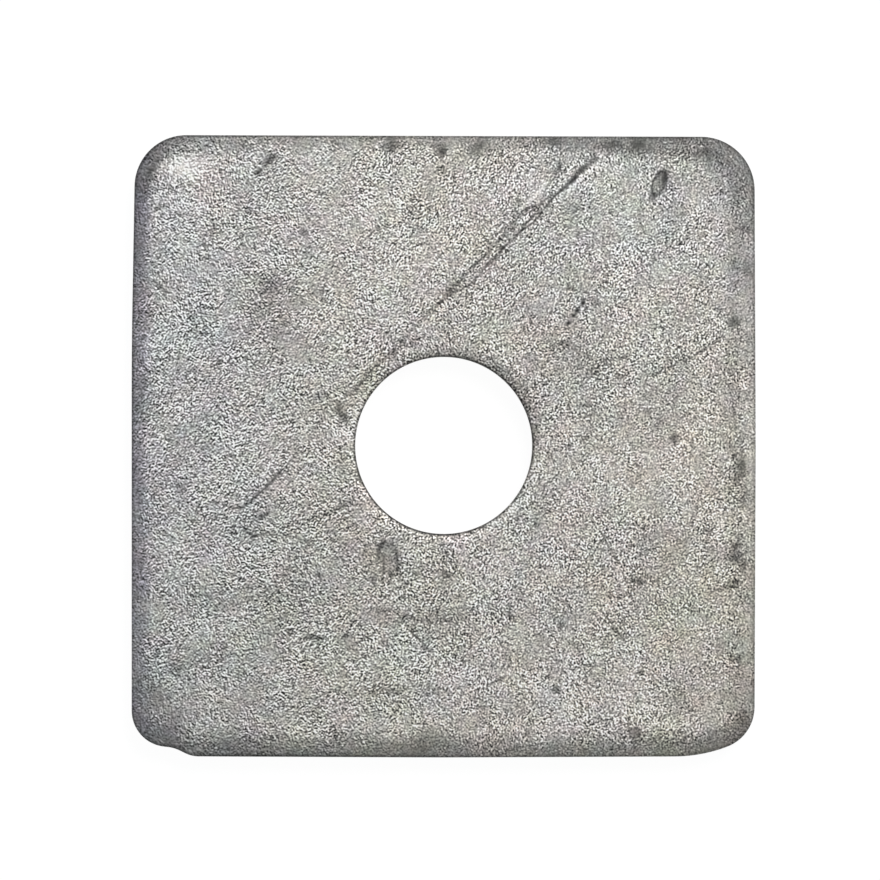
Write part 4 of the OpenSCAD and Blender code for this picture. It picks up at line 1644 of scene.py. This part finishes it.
@dataclass
class Studio:
    """Floor, light and camera.

    Attributes:
        view_width: width of the picture on the plate, mm.
        view_height: height at which that width holds, mm.
        camera_height: height of the camera, mm.
        aim: point under the camera, mm.
        sensor: width of the camera's sensor, mm.
        floor_half: half the floor's width, mm.
        floor_gap: how far the floor lies under the plate, mm.
        floor_grey: grey of the floor as it lights the plate.
        floor_glow, floor_shade: the seen floor's own white, and the grey by which it shows a shadow.
        room_colour, room_strength: the even light of the room.
        key_colour, key_power: colour of the key light, and its power, W.
        key_width: width of the key light, mm.
        key_azimuth, key_elevation: direction of the key light from the plate, degrees.
        key_distance: distance of the key light from the plate, mm.
    """

    view_width: float = 70.51
    view_height: float = 2.5
    camera_height: float = 600.0
    aim: Point = (-0.296, 0.439)
    sensor: float = 36.0
    floor_half: float = 3000.0
    floor_gap: float = 0.02
    floor_grey: float = 0.8
    floor_glow: float = 0.95
    floor_shade: float = 0.09
    room_colour: Colour = (0.94, 0.97, 1.0)
    room_strength: float = 0.45
    key_colour: Colour = (1.0, 0.985, 0.955)
    key_power: float = 2.05
    key_width: float = 350.0
    key_azimuth: float = 60.0
    key_elevation: float = 54.0
    key_distance: float = 550.0

    def add_camera(self) -> None:
        """Adds the camera, straight above the plate."""
        data = bpy.data.cameras.new("camera")
        data.sensor_width = self.sensor
        data.lens = self.sensor * (self.camera_height - self.view_height) / self.view_width
        data.clip_start = 0.01
        data.clip_end = 20.0
        made = bpy.data.objects.new("camera", data)
        made.location = (self.aim[0] * MM, self.aim[1] * MM, self.camera_height * MM)
        bpy.context.scene.collection.objects.link(made)
        bpy.context.scene.camera = made

    def add_floor(self) -> bpy.types.Object:
        """Adds the pale floor that the plate lies on."""
        half = self.floor_half * MM
        mesh = bpy.data.meshes.new("floor")
        corners = [(-half, -half, 0.0), (half, -half, 0.0), (half, half, 0.0), (-half, half, 0.0)]
        mesh.from_pydata(corners, [], [(0, 1, 2, 3)])
        mesh.materials.append(self.floor_material())
        made = bpy.data.objects.new("floor", mesh)
        made.location.z = -self.floor_gap * MM
        bpy.context.scene.collection.objects.link(made)
        return made

    def floor_material(self) -> bpy.types.Material:
        """Makes the floor's white, which keeps a faint shadow."""
        made = bpy.data.materials.new("white_floor")
        made.use_nodes = True
        tree = made.node_tree
        tree.nodes.clear()
        output = tree.nodes.new("ShaderNodeOutputMaterial")
        plain = tree.nodes.new("ShaderNodeBsdfDiffuse")
        plain.inputs["Color"].default_value = (self.floor_grey, self.floor_grey, self.floor_grey, 1.0)
        faint = tree.nodes.new("ShaderNodeBsdfDiffuse")
        faint.inputs["Color"].default_value = (self.floor_shade, self.floor_shade, self.floor_shade, 1.0)
        glow = tree.nodes.new("ShaderNodeEmission")
        glow.inputs["Strength"].default_value = self.floor_glow
        both = tree.nodes.new("ShaderNodeAddShader")
        tree.links.new(faint.outputs["BSDF"], both.inputs[0])
        tree.links.new(glow.outputs["Emission"], both.inputs[1])
        path = tree.nodes.new("ShaderNodeLightPath")
        seen = path.outputs["Is Camera Ray"]
        for ray in ("Is Glossy Ray", "Is Transmission Ray"):
            widest = tree.nodes.new("ShaderNodeMath")
            widest.operation = "MAXIMUM"
            tree.links.new(seen, widest.inputs[0])
            tree.links.new(path.outputs[ray], widest.inputs[1])
            seen = widest.outputs["Value"]
        mixed = tree.nodes.new("ShaderNodeMixShader")
        tree.links.new(seen, mixed.inputs["Fac"])
        tree.links.new(plain.outputs["BSDF"], mixed.inputs[1])
        tree.links.new(both.outputs["Shader"], mixed.inputs[2])
        tree.links.new(mixed.outputs["Shader"], output.inputs["Surface"])
        return made

    def add_light(self) -> None:
        """Adds the soft key light and the even light of the room."""
        world = bpy.data.worlds.new("room")
        world.use_nodes = True
        back = world.node_tree.nodes["Background"]
        back.inputs["Color"].default_value = (*self.room_colour, 1.0)
        back.inputs["Strength"].default_value = self.room_strength
        bpy.context.scene.world = world
        data = bpy.data.lights.new("key", "AREA")
        data.shape = "DISK"
        data.size = self.key_width * MM
        data.energy = self.key_power
        data.color = self.key_colour
        made = bpy.data.objects.new("key", data)
        azimuth = math.radians(self.key_azimuth)
        elevation = math.radians(self.key_elevation)
        away = Vector(
            (
                math.cos(azimuth) * math.cos(elevation),
                math.sin(azimuth) * math.cos(elevation),
                math.sin(elevation),
            )
        )
        made.location = away * self.key_distance * MM
        made.rotation_mode = "QUATERNION"
        made.rotation_quaternion = away.to_track_quat("Z", "Y")
        bpy.context.scene.collection.objects.link(made)


def main() -> None:
    """Builds the washer and the studio."""
    logging.basicConfig(level=logging.INFO, format="%(message)s")
    bpy.context.scene.view_settings.view_transform = "Standard"
    washer = PlateWasher.from_frame()
    plate = washer.build()
    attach(plate, "root")
    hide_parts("plate")
    log.info("%s: %d faces", plate.name, len(plate.data.polygons))
    studio = Studio()
    floor = studio.add_floor()
    studio.add_light()
    studio.add_camera()
    log.info("%s, light and camera", floor.name)


if __name__ == "__main__":
    main()
